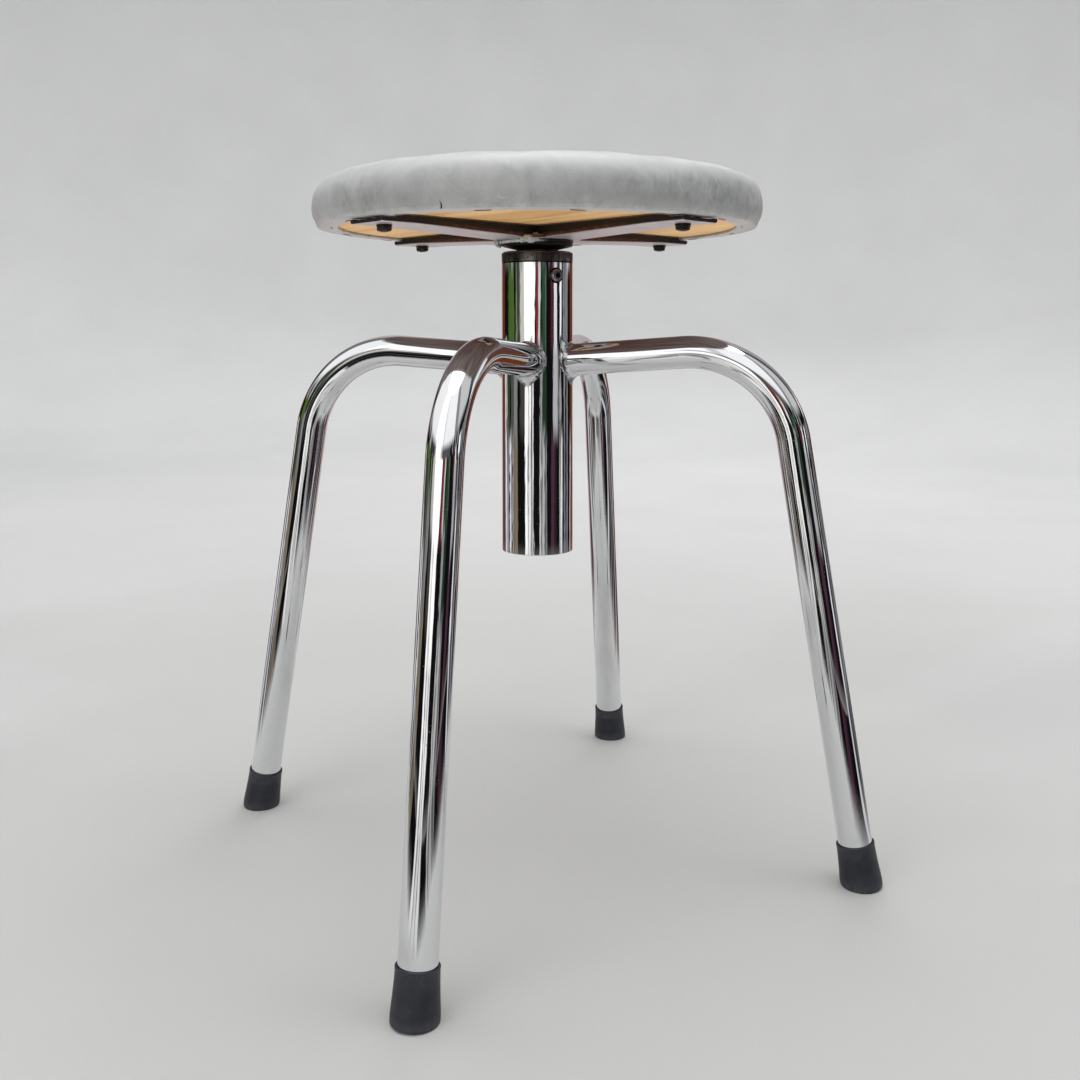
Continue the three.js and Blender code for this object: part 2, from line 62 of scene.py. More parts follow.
WEB_Z, TAB_Z, TAB_R0, BOLT_R = 436.8, 440.2, 118.0, 133.0
BOARD_Z0, BOARD_Z1, BOARD_R = 446.0, 458.0, 154.0
FOLD_R, FOLD_Z = 139.6, 443.9
SIDES = ["front", "right", "back", "left"]
ARM_TURNS = [rad(ARM_AZ) - PI / 2 + i * PI / 2 for i in range(4)]

# ------------------------------------------------------------------ camera
ROUND = 0.2965  # the camera stands this far round from the front leg


def make_camera():
    dist, height, yaw, pitch, roll = 0.8196244, 0.3740146, 0.0023, 0.053, -0.0009
    fw = Vector((math.sin(yaw) * math.cos(pitch), math.cos(yaw) * math.cos(pitch), -math.sin(pitch)))
    rt = Vector((math.cos(yaw), -math.sin(yaw), 0))
    up = rt.cross(fw)
    r2 = math.cos(roll) * rt + math.sin(roll) * up
    u2 = -math.sin(roll) * rt + math.cos(roll) * up
    axes = Matrix((r2, u2, -fw)).transposed()
    spin = Matrix.Rotation(ROUND, 3, "Z")
    data = bpy.data.cameras.new("camera")
    cam = bpy.data.objects.new("camera", data)
    SC.collection.objects.link(cam)
    m = (spin @ axes).to_4x4()
    m.translation = spin @ Vector((0, -dist, height))
    cam.matrix_world = m
    data.sensor_width = 36
    data.lens = 38.177
    data.shift_y = -0.1389
    data.clip_start, data.clip_end = 0.02, 50
    SC.camera = cam
    return cam


make_camera()

# ------------------------------------------------------------------ mesh helpers


def link(name, me):
    ob = bpy.data.objects.new(name, me)
    SC.collection.objects.link(ob)
    return ob


def finish_mesh(ob, sharp=35.0, recalc=True):
    me = ob.data
    if recalc:
        bm = bmesh.new()
        bm.from_mesh(me)
        bmesh.ops.recalc_face_normals(bm, faces=bm.faces)
        bm.to_mesh(me)
        bm.free()
    me.shade_smooth()
    me.set_sharp_from_angle(angle=rad(sharp))
    return ob


def make(name, verts, faces, sharp=35.0, grain=None, merge=None):
    """verts in mm."""
    me = bpy.data.meshes.new(name)
    v = np.asarray(verts, float) * S
    me.from_pydata([tuple(p) for p in v], [], [tuple(int(i) for i in f) for f in faces])
    g = v if grain is None else np.asarray(grain, float) * S
    at = me.attributes.new("grain", "FLOAT_VECTOR", "POINT")
    at.data.foreach_set("vector", g.astype(np.float32).ravel())
    if merge is not None:
        bm = bmesh.new()
        bm.from_mesh(me)
        bmesh.ops.remove_doubles(bm, verts=bm.verts, dist=merge * S)
        bmesh.ops.dissolve_degenerate(bm, edges=bm.edges, dist=1e-6)
        bm.to_mesh(me)
        bm.free()
    ob = link(name, me)
    return finish_mesh(ob, sharp)


def rounded(points, closed=False, n=5):
    """A polyline of (r, z) or (r, z, fillet radius), with its corners rounded."""
    out = []
    m = len(points)
    for i, p in enumerate(points):
        r = p[2] if len(p) > 2 else 0.0
        here = Vector((p[0], p[1]))
        if r <= 0 or (not closed and i in (0, m - 1)):
            out.append((here.x, here.y))
            continue
        a = Vector(points[(i - 1) % m][:2]) - here
        b = Vector(points[(i + 1) % m][:2]) - here
        la, lb = a.length, b.length
        a.normalize(), b.normalize()
        ang = a.angle(b)
        t = min(r / math.tan(ang / 2), la * 0.49, lb * 0.49)
        r = t * math.tan(ang / 2)
        mid = (a + b).normalized() * (r / math.sin(ang / 2))
        c = here + mid
        p0, p1 = here + a * t - c, here + b * t - c
        sweep = p0.angle_signed(p1)
        for k in range(n + 1):
            q = p0.copy()
            q.rotate(Matrix.Rotation(-sweep * k / n, 2))
            out.append((c.x + q.x, c.y + q.y))
    return out


def lathe_arrays(profile, segs, closed=False, warp=None):
    """Turned about +Z. warp(r, z, angle) -> (r, z) may make it uneven."""
    verts, rings = [], []
    for r, z in profile:
        if r < 1e-6:
            rings.append([len(verts)] * segs)
            verts.append((0, 0, z))
            continue
        ring = []
        for j in range(segs):
            a = 2 * PI * j / segs
            rr, zz = (r, z) if warp is None else warp(r, z, a)
            ring.append(len(verts))
            verts.append((rr * math.cos(a), rr * math.sin(a), zz))
        rings.append(ring)
    faces = []
    pairs = list(zip(rings, rings[1:])) + ([(rings[-1], rings[0])] if closed else [])
    for low, high in pairs:
        for j in range(segs):
            k = (j + 1) % segs
            f = [low[j], low[k], high[k], high[j]]
            g = []
            for i in f:
                if not g or (g[-1] != i and g[0] != i):
                    g.append(i)
            if len(g) >= 3:
                faces.append(g)
    return verts, faces


def lathe(name, profile, segs=96, closed=False, warp=None, sharp=35.0, matrix=None, n=5):
    pts = rounded(profile, closed, n)
    v, f = lathe_arrays(pts, segs, closed, warp)
    grain = v
    if matrix is not None:
        v = [matrix @ Vector(p) for p in v]
    return make(name, [tuple(p) for p in v], f, sharp, grain=grain)


def boolean(ob, other, op, keep=False):
    mod = ob.modifiers.new("cut", "BOOLEAN")
    mod.operation, mod.solver, mod.object = op, "EXACT", other
    dg = bpy.context.evaluated_depsgraph_get()
    me = bpy.data.meshes.new_from_object(ob.evaluated_get(dg))
    ob.modifiers.remove(mod)
    old = ob.data
    ob.data = me
    bpy.data.meshes.remove(old)
    if not keep:
        bpy.data.objects.remove(other)
    return ob


def spin_z(a):
    return Matrix.Rotation(a, 4, "Z")


def n3(x, y, z):
    return noise.noise(Vector((x, y, z)))


# ------------------------------------------------------------------ material helpers
class Mat:
    """A small writer of Principled node trees."""

    def __init__(self, name, base=(0.5, 0.5, 0.5), rough=0.5, metal=0.0, **fixed):
        self.m = bpy.data.materials.new(name)
        self.m.use_nodes = True
        self.t = self.m.node_tree
        self.t.nodes.clear()
        out = self.t.nodes.new("ShaderNodeOutputMaterial")
        self.p = self.t.nodes.new("ShaderNodeBsdfPrincipled")
        self.t.links.new(self.p.outputs[0], out.inputs[0])
        self.p.inputs["Base Color"].default_value = (*base, 1)
        self.p.inputs["Roughness"].default_value = rough
        self.p.inputs["Metallic"].default_value = metal
        for k, v in fixed.items():
            self.p.inputs[k.replace("_", " ")].default_value = v
        self.m.diffuse_color = (*base, 1)

    def node(self, kind, **props):
        n = self.t.nodes.new(kind)
        for k, v in props.items():
            setattr(n, k, v)
        return n

    def put(self, socket, value):
        if isinstance(value, bpy.types.NodeSocket):
            self.t.links.new(value, socket)
        elif isinstance(value, (tuple, list)) and len(value) == 3 and socket.type == "RGBA":
            socket.default_value = (*value, 1)
        else:
            socket.default_value = value

    def set(self, name, value):
        self.put(self.p.inputs[name], value)

    def coords(self):
        return self.node("ShaderNodeTexCoord").outputs["Object"]

    def grain(self):
        return self.node("ShaderNodeAttribute", attribute_name="grain").outputs["Vector"]

    def scaled(self, vec, xyz, shift=(0, 0, 0), turn=(0, 0, 0)):
        m = self.node("ShaderNodeMapping")
        self.put(m.inputs["Vector"], vec)
        m.inputs["Scale"].default_value = xyz
        m.inputs["Location"].default_value = shift
        m.inputs["Rotation"].default_value = turn
        return m.outputs[0]

    def noise(self, vec, scale, detail=3.0, rough=0.55, distort=0.0):
        n = self.node("ShaderNodeTexNoise")
        self.put(n.inputs["Vector"], vec)
        n.inputs["Scale"].default_value = scale
        n.inputs["Detail"].default_value = detail
        n.inputs["Roughness"].default_value = rough
        n.inputs["Distortion"].default_value = distort
        return n.outputs[0]

    def cells(self, vec, scale, feature="F1", rand=1.0):
        n = self.node("ShaderNodeTexVoronoi", feature=feature)
        self.put(n.inputs["Vector"], vec)
        n.inputs["Scale"].default_value = scale
        n.inputs["Randomness"].default_value = rand
        return n.outputs[0]

    def span(self, value, a, b, c=0.0, d=1.0):
        """Maps value from a..b to c..d, clamped."""
        n = self.node("ShaderNodeMapRange")
        self.put(n.inputs[0], value)
        for i, x in zip((1, 2, 3, 4), (a, b, c, d)):
            self.put(n.inputs[i], x)
        return n.outputs[0]

    def ramp(self, value, *stops):
        n = self.node("ShaderNodeValToRGB")
        self.put(n.inputs[0], value)
        e = n.color_ramp.elements
        while len(e) < len(stops):
            e.new(0.5)
        for el, (pos, col) in zip(e, stops):
            el.position = pos
            el.color = (*col, 1) if isinstance(col, (tuple, list)) else (col, col, col, 1)
        return n.outputs[0]

    def mix(self, fac, a, b, mode="MIX"):
        n = self.node("ShaderNodeMix", data_type="RGBA", blend_type=mode)
        self.put(n.inputs[0], fac)
        self.put(n.inputs[6], a if not isinstance(a, (tuple, list)) else (*a, 1))
        self.put(n.inputs[7], b if not isinstance(b, (tuple, list)) else (*b, 1))
        return n.outputs[2]

    def math(self, op, a, b=None, c=None, clamp=False):
        n = self.node("ShaderNodeMath", operation=op, use_clamp=clamp)
        self.put(n.inputs[0], a)
        if b is not None:
            self.put(n.inputs[1], b)
        if c is not None:
            self.put(n.inputs[2], c)
        return n.outputs[0]

    def axes(self, vec):
        n = self.node("ShaderNodeSeparateXYZ")
        self.put(n.inputs[0], vec)
        return n.outputs[0], n.outputs[1], n.outputs[2]

    def bump(self, height, strength, distance, under=None):
        n = self.node("ShaderNodeBump")
        n.inputs["Strength"].default_value = strength
        n.inputs["Distance"].default_value = distance
        self.put(n.inputs["Height"], height)
        if under is not None:
            self.put(n.inputs["Normal"], under)
        return n.outputs[0]


def chrome_material(name, tint=(0.80, 0.81, 0.82), dull=(0.66, 0.66, 0.67), rough=0.035, wave=0.35, weld=False, shadow_seam_z=None):
    """Bright chrome plate on drawn tube: long draw marks, wipe marks, a few pits."""
    m = Mat(name, tint, rough, 1.0)
    g = m.grain()
    along = m.scaled(g, (1, 1, 0.045))
    draw = m.noise(along, 120, 2.0, 0.5)
    fine = m.noise(m.scaled(g, (1, 1, 0.02)), 620, 2.0, 0.5)
    smear = m.noise(m.scaled(g, (1, 1, 0.4)), 34, 5.0, 0.6, 0.4)
    haze = m.span(smear, 0.5, 0.78)
    pits = m.span(m.cells(g, 420), 0.05, 0.11, 1.0, 0.0)
    where = m.span(m.noise(g, 26, 3.0), 0.56, 0.66)
    pits = m.math("MULTIPLY", pits, where)
    m.set("Roughness", m.math("ADD", m.math("MULTIPLY_ADD", haze, 0.07, rough), m.math("MULTIPLY", pits, 0.25)))
    plate = m.mix(pits, m.mix(haze, tint, dull), (0.16, 0.13, 0.11))
    if shadow_seam_z:  # painted shadow line in the joint under the collar
        edge = m.span(m.math("MULTIPLY_ADD", m.noise(g, 300, 3.0), 0.0002, m.axes(m.coords())[2]), shadow_seam_z, shadow_seam_z + 0.0003)
        plate = m.mix(edge, plate, (0.02, 0.018, 0.016))
    m.set("Base Color", plate)
    b = m.bump(draw, wave, 0.0011)
    b = m.bump(fine, 0.10, 0.00012, b)
    b = m.bump(pits, 0.5, -0.0001, b)
    if weld:
        b = m.bump(m.noise(g, 520, 4.0, 0.6), 0.45, 0.0006, b)
    m.set("Normal", b)
    return m.m


def bracket_material(name):
    """Pressed sheet: the flat underside is a pinkish plate; its upright sides are painted near-black as shade, with
    rust brown low down near the hub.
    """
    m = Mat(name, (0.6, 0.56, 0.56), 0.2, 1.0)
    c = m.coords()
    normal = m.node("ShaderNodeNewGeometry").outputs["Normal"]
    up = m.math("ABSOLUTE", m.axes(normal)[2])
    cloud = m.noise(c, 70, 5.0, 0.62)
    grit = m.noise(c, 620, 4.0, 0.65)
    # steep faces get the dark colour: painted shade on the flanges
    side = m.span(m.math("MULTIPLY_ADD", cloud, -0.30, m.math("ADD", up, 0.15)), 0.55, 0.86, 1.0, 0.0)
    spots = m.math("MULTIPLY", m.span(grit, 0.60, 0.72), m.span(cloud, 0.5, 0.65))
    plate = m.ramp(cloud, (0.30, (0.54, 0.485, 0.49)), (0.55, (0.66, 0.61, 0.615)), (0.78, (0.74, 0.70, 0.70)))
    plate = m.mix(m.math("MULTIPLY", spots, 0.55), plate, (0.20, 0.12, 0.08))
    x, y, z = m.axes(c)
    r = m.math("SQRT", m.math("ADD", m.math("MULTIPLY", x, x), m.math("MULTIPLY", y, y)))
    near = m.span(m.math("MULTIPLY_ADD", cloud, 0.03, r), 0.030, 0.085, 0.75, 0.0)
    plate = m.mix(near, plate, (0.46, 0.45, 0.44))
    black = m.ramp(grit, (0.35, (0.006, 0.005, 0.005)), (0.72, (0.020, 0.013, 0.010)))
    rust = m.ramp(m.noise(m.scaled(c, (1, 1, 2.0)), 240, 5.0, 0.65), (0.32, (0.022, 0.008, 0.005)), (0.52, (0.085, 0.026, 0.012)), (0.74, (0.170, 0.056, 0.026)))
    foot = m.span(m.math("ADD", m.math("MULTIPLY_ADD", cloud, 0.0014, z), m.math("MULTIPLY", r, -0.03696)), 0.4388, 0.4399, 1.0, 0.0)
    foot = m.math("MULTIPLY", foot, m.span(r, 0.085, 0.115, 1.0, 0.0))
    brown = m.mix(foot, black, rust)
    m.set("Base Color", m.mix(side, plate, brown))
    m.set("Metallic", m.span(side, 0.0, 1.0, 0.62, 0.30))
    m.set("Roughness", m.math("ADD", m.span(cloud, 0.3, 0.75, 0.30, 0.42), m.math("MULTIPLY", side, 0.06)))
    b = m.bump(m.noise(c, 160, 3.0, 0.5), 0.12, 0.0008)
    b = m.bump(grit, 0.12, 0.0002, b)
    m.set("Normal", b)
    return m.m


def dark_plate_material(name, gain=1.0):
    """Blackened, still glossy steel: it mirrors bright things at a sixth of their strength."""
    m = Mat(name, (0.16, 0.15, 0.14), 0.16, 1.0)
    c = m.coords()
    cloud = m.noise(m.scaled(c, (1, 1, 0.8)), 140, 5.0, 0.65)
    rub = m.span(m.noise(c, 520, 4.0, 0.7), 0.62, 0.74)
    low, mid, high = ([gain * q for q in t] for t in ((0.060, 0.055, 0.050), (0.140, 0.130, 0.120), (0.215, 0.200, 0.185)))
    col = m.ramp(cloud, (0.30, low), (0.52, mid), (0.72, high))
    m.set("Base Color", m.mix(m.math("MULTIPLY", rub, 0.3), col, (0.30, 0.27, 0.24)))
    m.set("Roughness", m.span(cloud, 0.3, 0.75, 0.07, 0.24))
    b = m.bump(m.noise(m.scaled(c, (1, 1, 0.7)), 210, 3.0, 0.55), 0.18, 0.0006)
    b = m.bump(m.noise(c, 1500, 3.0, 0.6), 0.12, 0.0001, b)
    m.set("Normal", b)
    return m.m


def screw_material(name):
    """Black screw with its dome rubbed back to dull steel; near the column, under the flange and in the socket, it is
    painted near-black as shade.
    """
    m = Mat(name, (0.2, 0.2, 0.2), 0.33, 1.0)
    c = m.coords()
    x, y, z = m.axes(c)
    r = m.math("SQRT", m.math("ADD", m.math("MULTIPLY", x, x), m.math("MULTIPLY", y, y)))
    grit = m.noise(c, 900, 4.0, 0.65)
    dome = m.span(m.math("MULTIPLY_ADD", grit, 0.0004, r), (COLUMN_R + 1.15) * S, (COLUMN_R + 1.55) * S)
    rubbed = m.ramp(grit, (0.30, (0.25, 0.245, 0.24)), (0.70, (0.46, 0.45, 0.44)))
    # close to the column the head is painted near-black: painted shade under the flange and in the socket
    m.set("Base Color", m.mix(dome, (0.012, 0.011, 0.010), rubbed))
    m.set("Roughness", m.span(grit, 0.3, 0.7, 0.30, 0.42))
    m.set("Normal", m.bump(grit, 0.12, 0.0001))
    return m.m


def black_steel_material(name, base, worn, rough, metal):
    m = Mat(name, base, rough, metal)
    c = m.coords()
    patch = m.noise(c, 90, 5.0, 0.62)
    rub = m.span(m.noise(c, 420, 4.0, 0.7), 0.60, 0.74)
    brown = m.span(patch, 0.42, 0.66)
    m.set("Base Color", m.mix(m.math("MULTIPLY", rub, 0.55), m.mix(brown, base, (base[0] * 2.0, base[1] * 1.5, base[2] * 1.2)), worn))
    m.set("Roughness", m.span(patch, 0.3, 0.75, rough - 0.07, rough + 0.14))
    b = m.bump(m.noise(c, 260, 4.0, 0.6), 0.22, 0.0004)
    b = m.bump(m.noise(c, 1700, 3.0, 0.6), 0.16, 0.0001, b)
    m.set("Normal", b)
    return m.m


def steel_material(name, base, rough, grease=0.0):
    m = Mat(name, base, rough, 1.0)
    c = m.coords()
    blot = m.noise(c, 150, 4.0, 0.6)
    rings = m.noise(m.scaled(c, (0.05, 0.05, 1)), 2600, 2.0, 0.5)
    m.set("Base Color", m.ramp(blot, (0.3, tuple(x * 0.72 for x in base)), (0.55, base), (0.8, tuple(min(1, x * 1.18) for x in base))))
    m.set("Roughness", m.span(blot, 0.3, 0.7, rough - 0.06, rough + 0.14))
    b = m.bump(rings, 0.2, 0.00006)
    b = m.bump(m.noise(c, 900, 3.0), 0.15, 0.0001, b)
    m.set("Normal", b)
    if grease:
        x, y, z = m.axes(c)
        r = m.math("SQRT", m.math("ADD", m.math("MULTIPLY", x, x), m.math("MULTIPLY", y, y)))
        deep = m.span(r, 0.0119, 0.0146, 1.0, 0.0)
        dirt = m.math("MULTIPLY", deep, m.span(m.noise(c, 240, 4.0, 0.6), 0.35, 0.6, 0.55, 1.0))
        dirt = m.math("MULTIPLY", dirt, grease)
        m.set("Base Color", m.mix(dirt, m.ramp(blot, (0.3, tuple(x * 0.72 for x in base)), (0.7, base)), (0.035, 0.028, 0.02)))
        m.set("Metallic", m.span(dirt, 0.0, 1.0, 1.0, 0.15))
        m.set("Roughness", m.mix(dirt, m.span(blot, 0.3, 0.7, rough - 0.05, rough + 0.12), (0.42, 0.42, 0.42)))
    return m.m


def weld_material(name):
    """Raw weld, painted pale silvery on the side where the key light falls and dark elsewhere: painted light and
    shade.
    """
    m = Mat(name, (0.4, 0.41, 0.4), 0.4, 0.9)
    c = m.coords()
    x, y, z = m.axes(c)
    # the side towards the camera's left, where the key light falls, is painted pale silvery as light; the rest is
    # painted dark as shade
    side = m.math("ADD", m.math("MULTIPLY", x, -0.86), m.math("MULTIPLY", y, -0.51))
    lit_side_mask = m.span(m.math("MULTIPLY_ADD", m.noise(c, 160, 4.0, 0.65), 0.016, side), 0.006, 0.016)
    grit = m.noise(c, 900, 4.0, 0.65)
    m.set("Base Color", m.mix(lit_side_mask, (0.018, 0.016, 0.014), m.ramp(grit, (0.3, (0.26, 0.275, 0.265)), (0.6, (0.64, 0.67, 0.65)), (0.8, (0.84, 0.86, 0.84)))))
    m.set("Metallic", m.span(lit_side_mask, 0, 1, 0.5, 0.30))
    m.set("Roughness", m.span(grit, 0.3, 0.7, 0.28, 0.5))
    m.set("Normal", m.bump(grit, 0.6, 0.0005))
    return m.m


def rubber_material(name):
    m = Mat(name, (0.022, 0.024, 0.031), 0.55, 0.0, Specular_IOR_Level=0.42)
    c = m.coords()
    x, y, z = m.axes(c)
    cloud = m.noise(c, 120, 5.0, 0.6)
    scuff = m.span(m.noise(m.scaled(c, (1, 1, 0.25)), 520, 4.0, 0.7), 0.58, 0.74)
    # paler in the bottom 7.5 mm: partly dust, partly a painted highlight where the rounded foot catches light
    low = m.math("MULTIPLY", m.span(z, 0.0, 0.0075, 1.0, 0.0), m.span(m.noise(c, 300, 4.0), 0.3, 0.62, 0.35, 1.0))
    col = m.ramp(cloud, (0.32, (0.008, 0.009, 0.013)), (0.55, (0.015, 0.016, 0.023)), (0.75, (0.028, 0.029, 0.036)))
    col = m.mix(m.math("MULTIPLY", scuff, 0.25), col, (0.08, 0.08, 0.09))
    col = m.mix(m.math("MULTIPLY", low, 0.7), col, (0.075, 0.077, 0.088))
    m.set("Base Color", col)
    m.set("Roughness", m.math("ADD", m.span(cloud, 0.3, 0.75, 0.42, 0.62), m.math("MULTIPLY", low, 0.2)))
    b = m.bump(m.noise(c, 1500, 3.0, 0.6), 0.25, 0.00012)
    b = m.bump(m.noise(c, 240, 3.0, 0.5), 0.25, 0.0003, b)
    m.set("Normal", b)
    return m.m


def plywood_material(name):
    m = Mat(name, (0.62, 0.36, 0.15), 0.55, 0.0)
    c = m.scaled(m.coords(), (1, 1, 1), turn=(0, 0, rad(31)))
    wob = m.noise(m.scaled(c, (1.2, 6, 6)), 6, 3.0, 0.5)
    x, y, z = m.axes(c)
    yy = m.math("MULTIPLY_ADD", wob, 0.05, y)
    lay = m.node("ShaderNodeCombineXYZ")
    m.put(lay.inputs[0], m.math("MULTIPLY", x, 0.05))
    m.put(lay.inputs[1], yy)
    m.put(lay.inputs[2], z)
    lay = lay.outputs[0]
    bands = m.noise(lay, 60, 4.0, 0.6)
    figure = m.noise(m.scaled(c, (0.6, 3, 3)), 14, 3.0, 0.5)
    pores = m.span(m.noise(m.scaled(c, (0.035, 1, 1)), 1500, 3.0, 0.6), 0.60, 0.72)
    edge = m.math("ABSOLUTE", m.math("SINE", m.math("MULTIPLY", z, PI / 0.0024)))
    col = m.ramp(bands, (0.28, (0.50, 0.255, 0.085)), (0.48, (0.67, 0.39, 0.155)), (0.66, (0.76, 0.49, 0.22)), (0.85, (0.62, 0.35, 0.13)))
    col = m.mix(m.span(figure, 0.35, 0.7, 0.0, 0.45), col, (0.80, 0.53, 0.25))
    col = m.mix(m.math("MULTIPLY", pores, 0.5), col, (0.30, 0.14, 0.05))
    # the edge of the board shows its five veneers
    n = m.node("ShaderNodeNewGeometry").outputs["Normal"]
    nz = m.axes(n)[2]
    on_edge = m.span(m.math("ABSOLUTE", nz), 0.25, 0.5, 1.0, 0.0)
    ply = m.ramp(edge, (0.0, (0.20, 0.09, 0.03)), (0.35, (0.62, 0.40, 0.20)), (1.0, (0.72, 0.50, 0.27)))
    m.set("Base Color", m.mix(on_edge, col, ply))
    m.set("Roughness", m.span(bands, 0.3, 0.8, 0.48, 0.66))
    b = m.bump(bands, 0.2, 0.0004)
    b = m.bump(pores, 0.35, -0.00012, b)
    m.set("Normal", b)
    return m.m


def nylon_material(name):
    m = Mat(name, (0.78, 0.75, 0.68), 0.42, 0.0, Subsurface_Weight=0.1)
    c = m.coords()
    cloud = m.noise(c, 110, 4.0)
    m.set("Base Color", m.ramp(cloud, (0.3, (0.62, 0.58, 0.50)), (0.6, (0.80, 0.78, 0.71))))
    m.set("Roughness", m.span(cloud, 0.3, 0.7, 0.35, 0.5))
    m.set("Normal", m.bump(m.noise(m.scaled(c, (0.1, 0.1, 1)), 1800, 2.0), 0.2, 0.0001))
    return m.m


def foam_material(name):
    m = Mat(name, (0.75, 0.66, 0.38), 0.95, 0.0)
    c = m.coords()
    cell = m.cells(c, 700)
    cloud = m.noise(c, 40, 4.0)
    m.set("Base Color", m.mix(m.span(cell, 0.1, 0.6), (0.45, 0.36, 0.17), m.ramp(cloud, (0.3, (0.70, 0.60, 0.33)), (0.7, (0.82, 0.74, 0.47)))))
    m.set("Normal", m.bump(cell, 0.5, 0.0005))
    return m.m


def fabric_material(name):
    """Grey leathercloth: a soft sheen and a painted highlight on the shoulder, painted shade on the flat top, cloudy,
    scuffed in fine slanting lines, darker in blotches low on one side.
    """
    m = Mat(name, (0.36, 0.365, 0.36), 0.5, 0.0, Sheen_Weight=0.18, Sheen_Roughness=0.45,
            Sheen_Tint=(0.92, 0.91, 0.95, 1.0), Specular_IOR_Level=0.55)
    c = m.coords()
    x, y, z = m.axes(c)
    r = m.math("SQRT", m.math("ADD", m.math("MULTIPLY", x, x), m.math("MULTIPLY", y, y)))
    broad = m.noise(m.scaled(c, (1, 1, 0.8)), 17, 4.0, 0.55, 0.3)
    blot = m.noise(m.scaled(c, (1, 1, 0.80)), 62, 5.0, 0.60, 0.6)
    grime = m.noise(m.scaled(c, (1, 1, 0.62)), 150, 4.0, 0.62, 0.5)
    fuzz = m.noise(c, 900, 3.0, 0.6)
    tone = m.math("ADD", m.math("MULTIPLY", broad, 0.30), m.math("MULTIPLY", blot, 0.52))
    tone = m.math("ADD", tone, m.math("MULTIPLY", grime, 0.18))
    col = m.ramp(tone, (0.36, (0.205, 0.210, 0.206)), (0.47, (0.275, 0.281, 0.276)), (0.56, (0.325, 0.330, 0.324)), (0.68, (0.400, 0.400, 0.396)))
    col = m.mix(m.span(fuzz, 0.35, 0.7, 0.0, 0.12), col, (0.55, 0.55, 0.54))
    # painted highlight: the shoulder, facing up into the top light, is painted paler, nearly white
    lift = m.axes(m.node("ShaderNodeNewGeometry").outputs["Normal"])[2]
    shoulder = m.span(m.math("MULTIPLY_ADD", m.math("ADD", blot, -0.5), 0.35, lift), 0.06, 0.40, 0.0, 0.50)
    shoulder = m.math("MULTIPLY", shoulder, m.span(lift, 0.93, 0.992, 1.0, 0.0))
    col = m.mix(shoulder, col, (0.445, 0.447, 0.452))
    # painted shade: the flat of the seat is painted a shade darker to hold back the strong top light
    col = m.mix(m.span(m.math("MULTIPLY_ADD", m.math("ADD", blot, -0.5), 0.03, lift), 0.978, 0.997, 0.0, 0.62), col, (0.165, 0.169, 0.165))
    # the lower side is darkened in blotches, most of all round to the right
    along = m.math("ADD", m.math("MULTIPLY", x, 0.9564), m.math("MULTIPLY", y, 0.2922))
    band = m.math("MULTIPLY", m.span(z, 0.4475, 0.4530, 0.25, 1.0), m.span(z, 0.4600, 0.4745, 1.0, 0.0))
    worn = m.math("MULTIPLY", band, m.span(along, -0.015, 0.11, 0.14, 1.0))
    smear = m.span(m.math("ADD", m.math("MULTIPLY", grime, 0.55), m.math("MULTIPLY", blot, 0.45)), 0.44, 0.62)
    col = m.mix(m.math("MULTIPLY", worn, m.math("MULTIPLY_ADD", smear, 0.74, 0.12)), col, (0.105, 0.112, 0.105))
    # scuffs: thin pale lines, here and there
    slant = m.scaled(c, (1, 1, 1), turn=(0.0, 0.62, 0.3))
    lines = m.noise(m.scaled(slant, (1, 1, 0.22)), 46, 2.0, 0.5, 0.7)
    lines = m.span(m.math("ABSOLUTE", m.math("ADD", lines, -0.5)), 0.0, 0.009, 1.0, 0.0)
    where = m.span(m.noise(c, 52, 2.0), 0.55, 0.68)
    scuff = m.math("MULTIPLY", lines, where)
    col = m.mix(m.math("MULTIPLY", scuff, 0.30), col, (0.72, 0.72, 0.72))
    # paler where the cover turns under the board
    rim = m.math("MULTIPLY", m.span(z, 0.4450, 0.4470, 1.0, 0.0), m.span(r, 0.1525, 0.1550, 0.0, 1.0))
    rim = m.math("MULTIPLY", rim, m.span(m.noise(c, 90, 4.0, 0.6), 0.32, 0.6, 0.15, 0.60))
    col = m.mix(rim, col, (0.60, 0.575, 0.56))
    # the turned-under strip is coloured a warmer, lighter grey
    below = m.math("MULTIPLY", m.span(z, 0.4440, 0.4456, 1.0, 0.0), m.span(r, 0.1525, 0.1545, 1.0, 0.0))
    col = m.mix(m.math("MULTIPLY", below, 0.55), col, (0.50, 0.455, 0.445))
    # a small crescent nick low on the near side
    u = m.math("ADD", x, 0.0118)
    w = m.math("ADD", z, -0.4470)
    du = m.math("ADD", u, 0.0040)
    ring = m.math("SQRT", m.math("ADD", m.math("MULTIPLY", du, du), m.math("MULTIPLY", w, w)))
    half = m.span(w, -0.0026, 0.0026, 0.00055, 0.00016)
    nick = m.math("LESS_THAN", m.math("ABSOLUTE", m.math("ADD", ring, -0.0040)), half)
    nick = m.math("MULTIPLY", nick, m.math("LESS_THAN", m.math("ABSOLUTE", w), 0.0022))
    nick = m.math("MULTIPLY", nick, m.math("GREATER_THAN", u, -0.0022))
    nick = m.math("MULTIPLY", nick, m.math("LESS_THAN", y, -0.12))
    col = m.mix(nick, col, (0.012, 0.011, 0.010))
    m.set("Base Color", col)
    m.set("Roughness", m.math("ADD", m.span(blot, 0.3, 0.7, 0.40, 0.56), m.math("MULTIPLY", scuff, 0.1)))
    b = m.bump(m.cells(c, 1150), 0.16, 0.00020)
    b = m.bump(fuzz, 0.10, 0.00020, b)
    b = m.bump(blot, 0.10, 0.0005, b)
    b = m.bump(nick, 0.8, -0.0006, b)
    m.set("Normal", b)
    return m.m


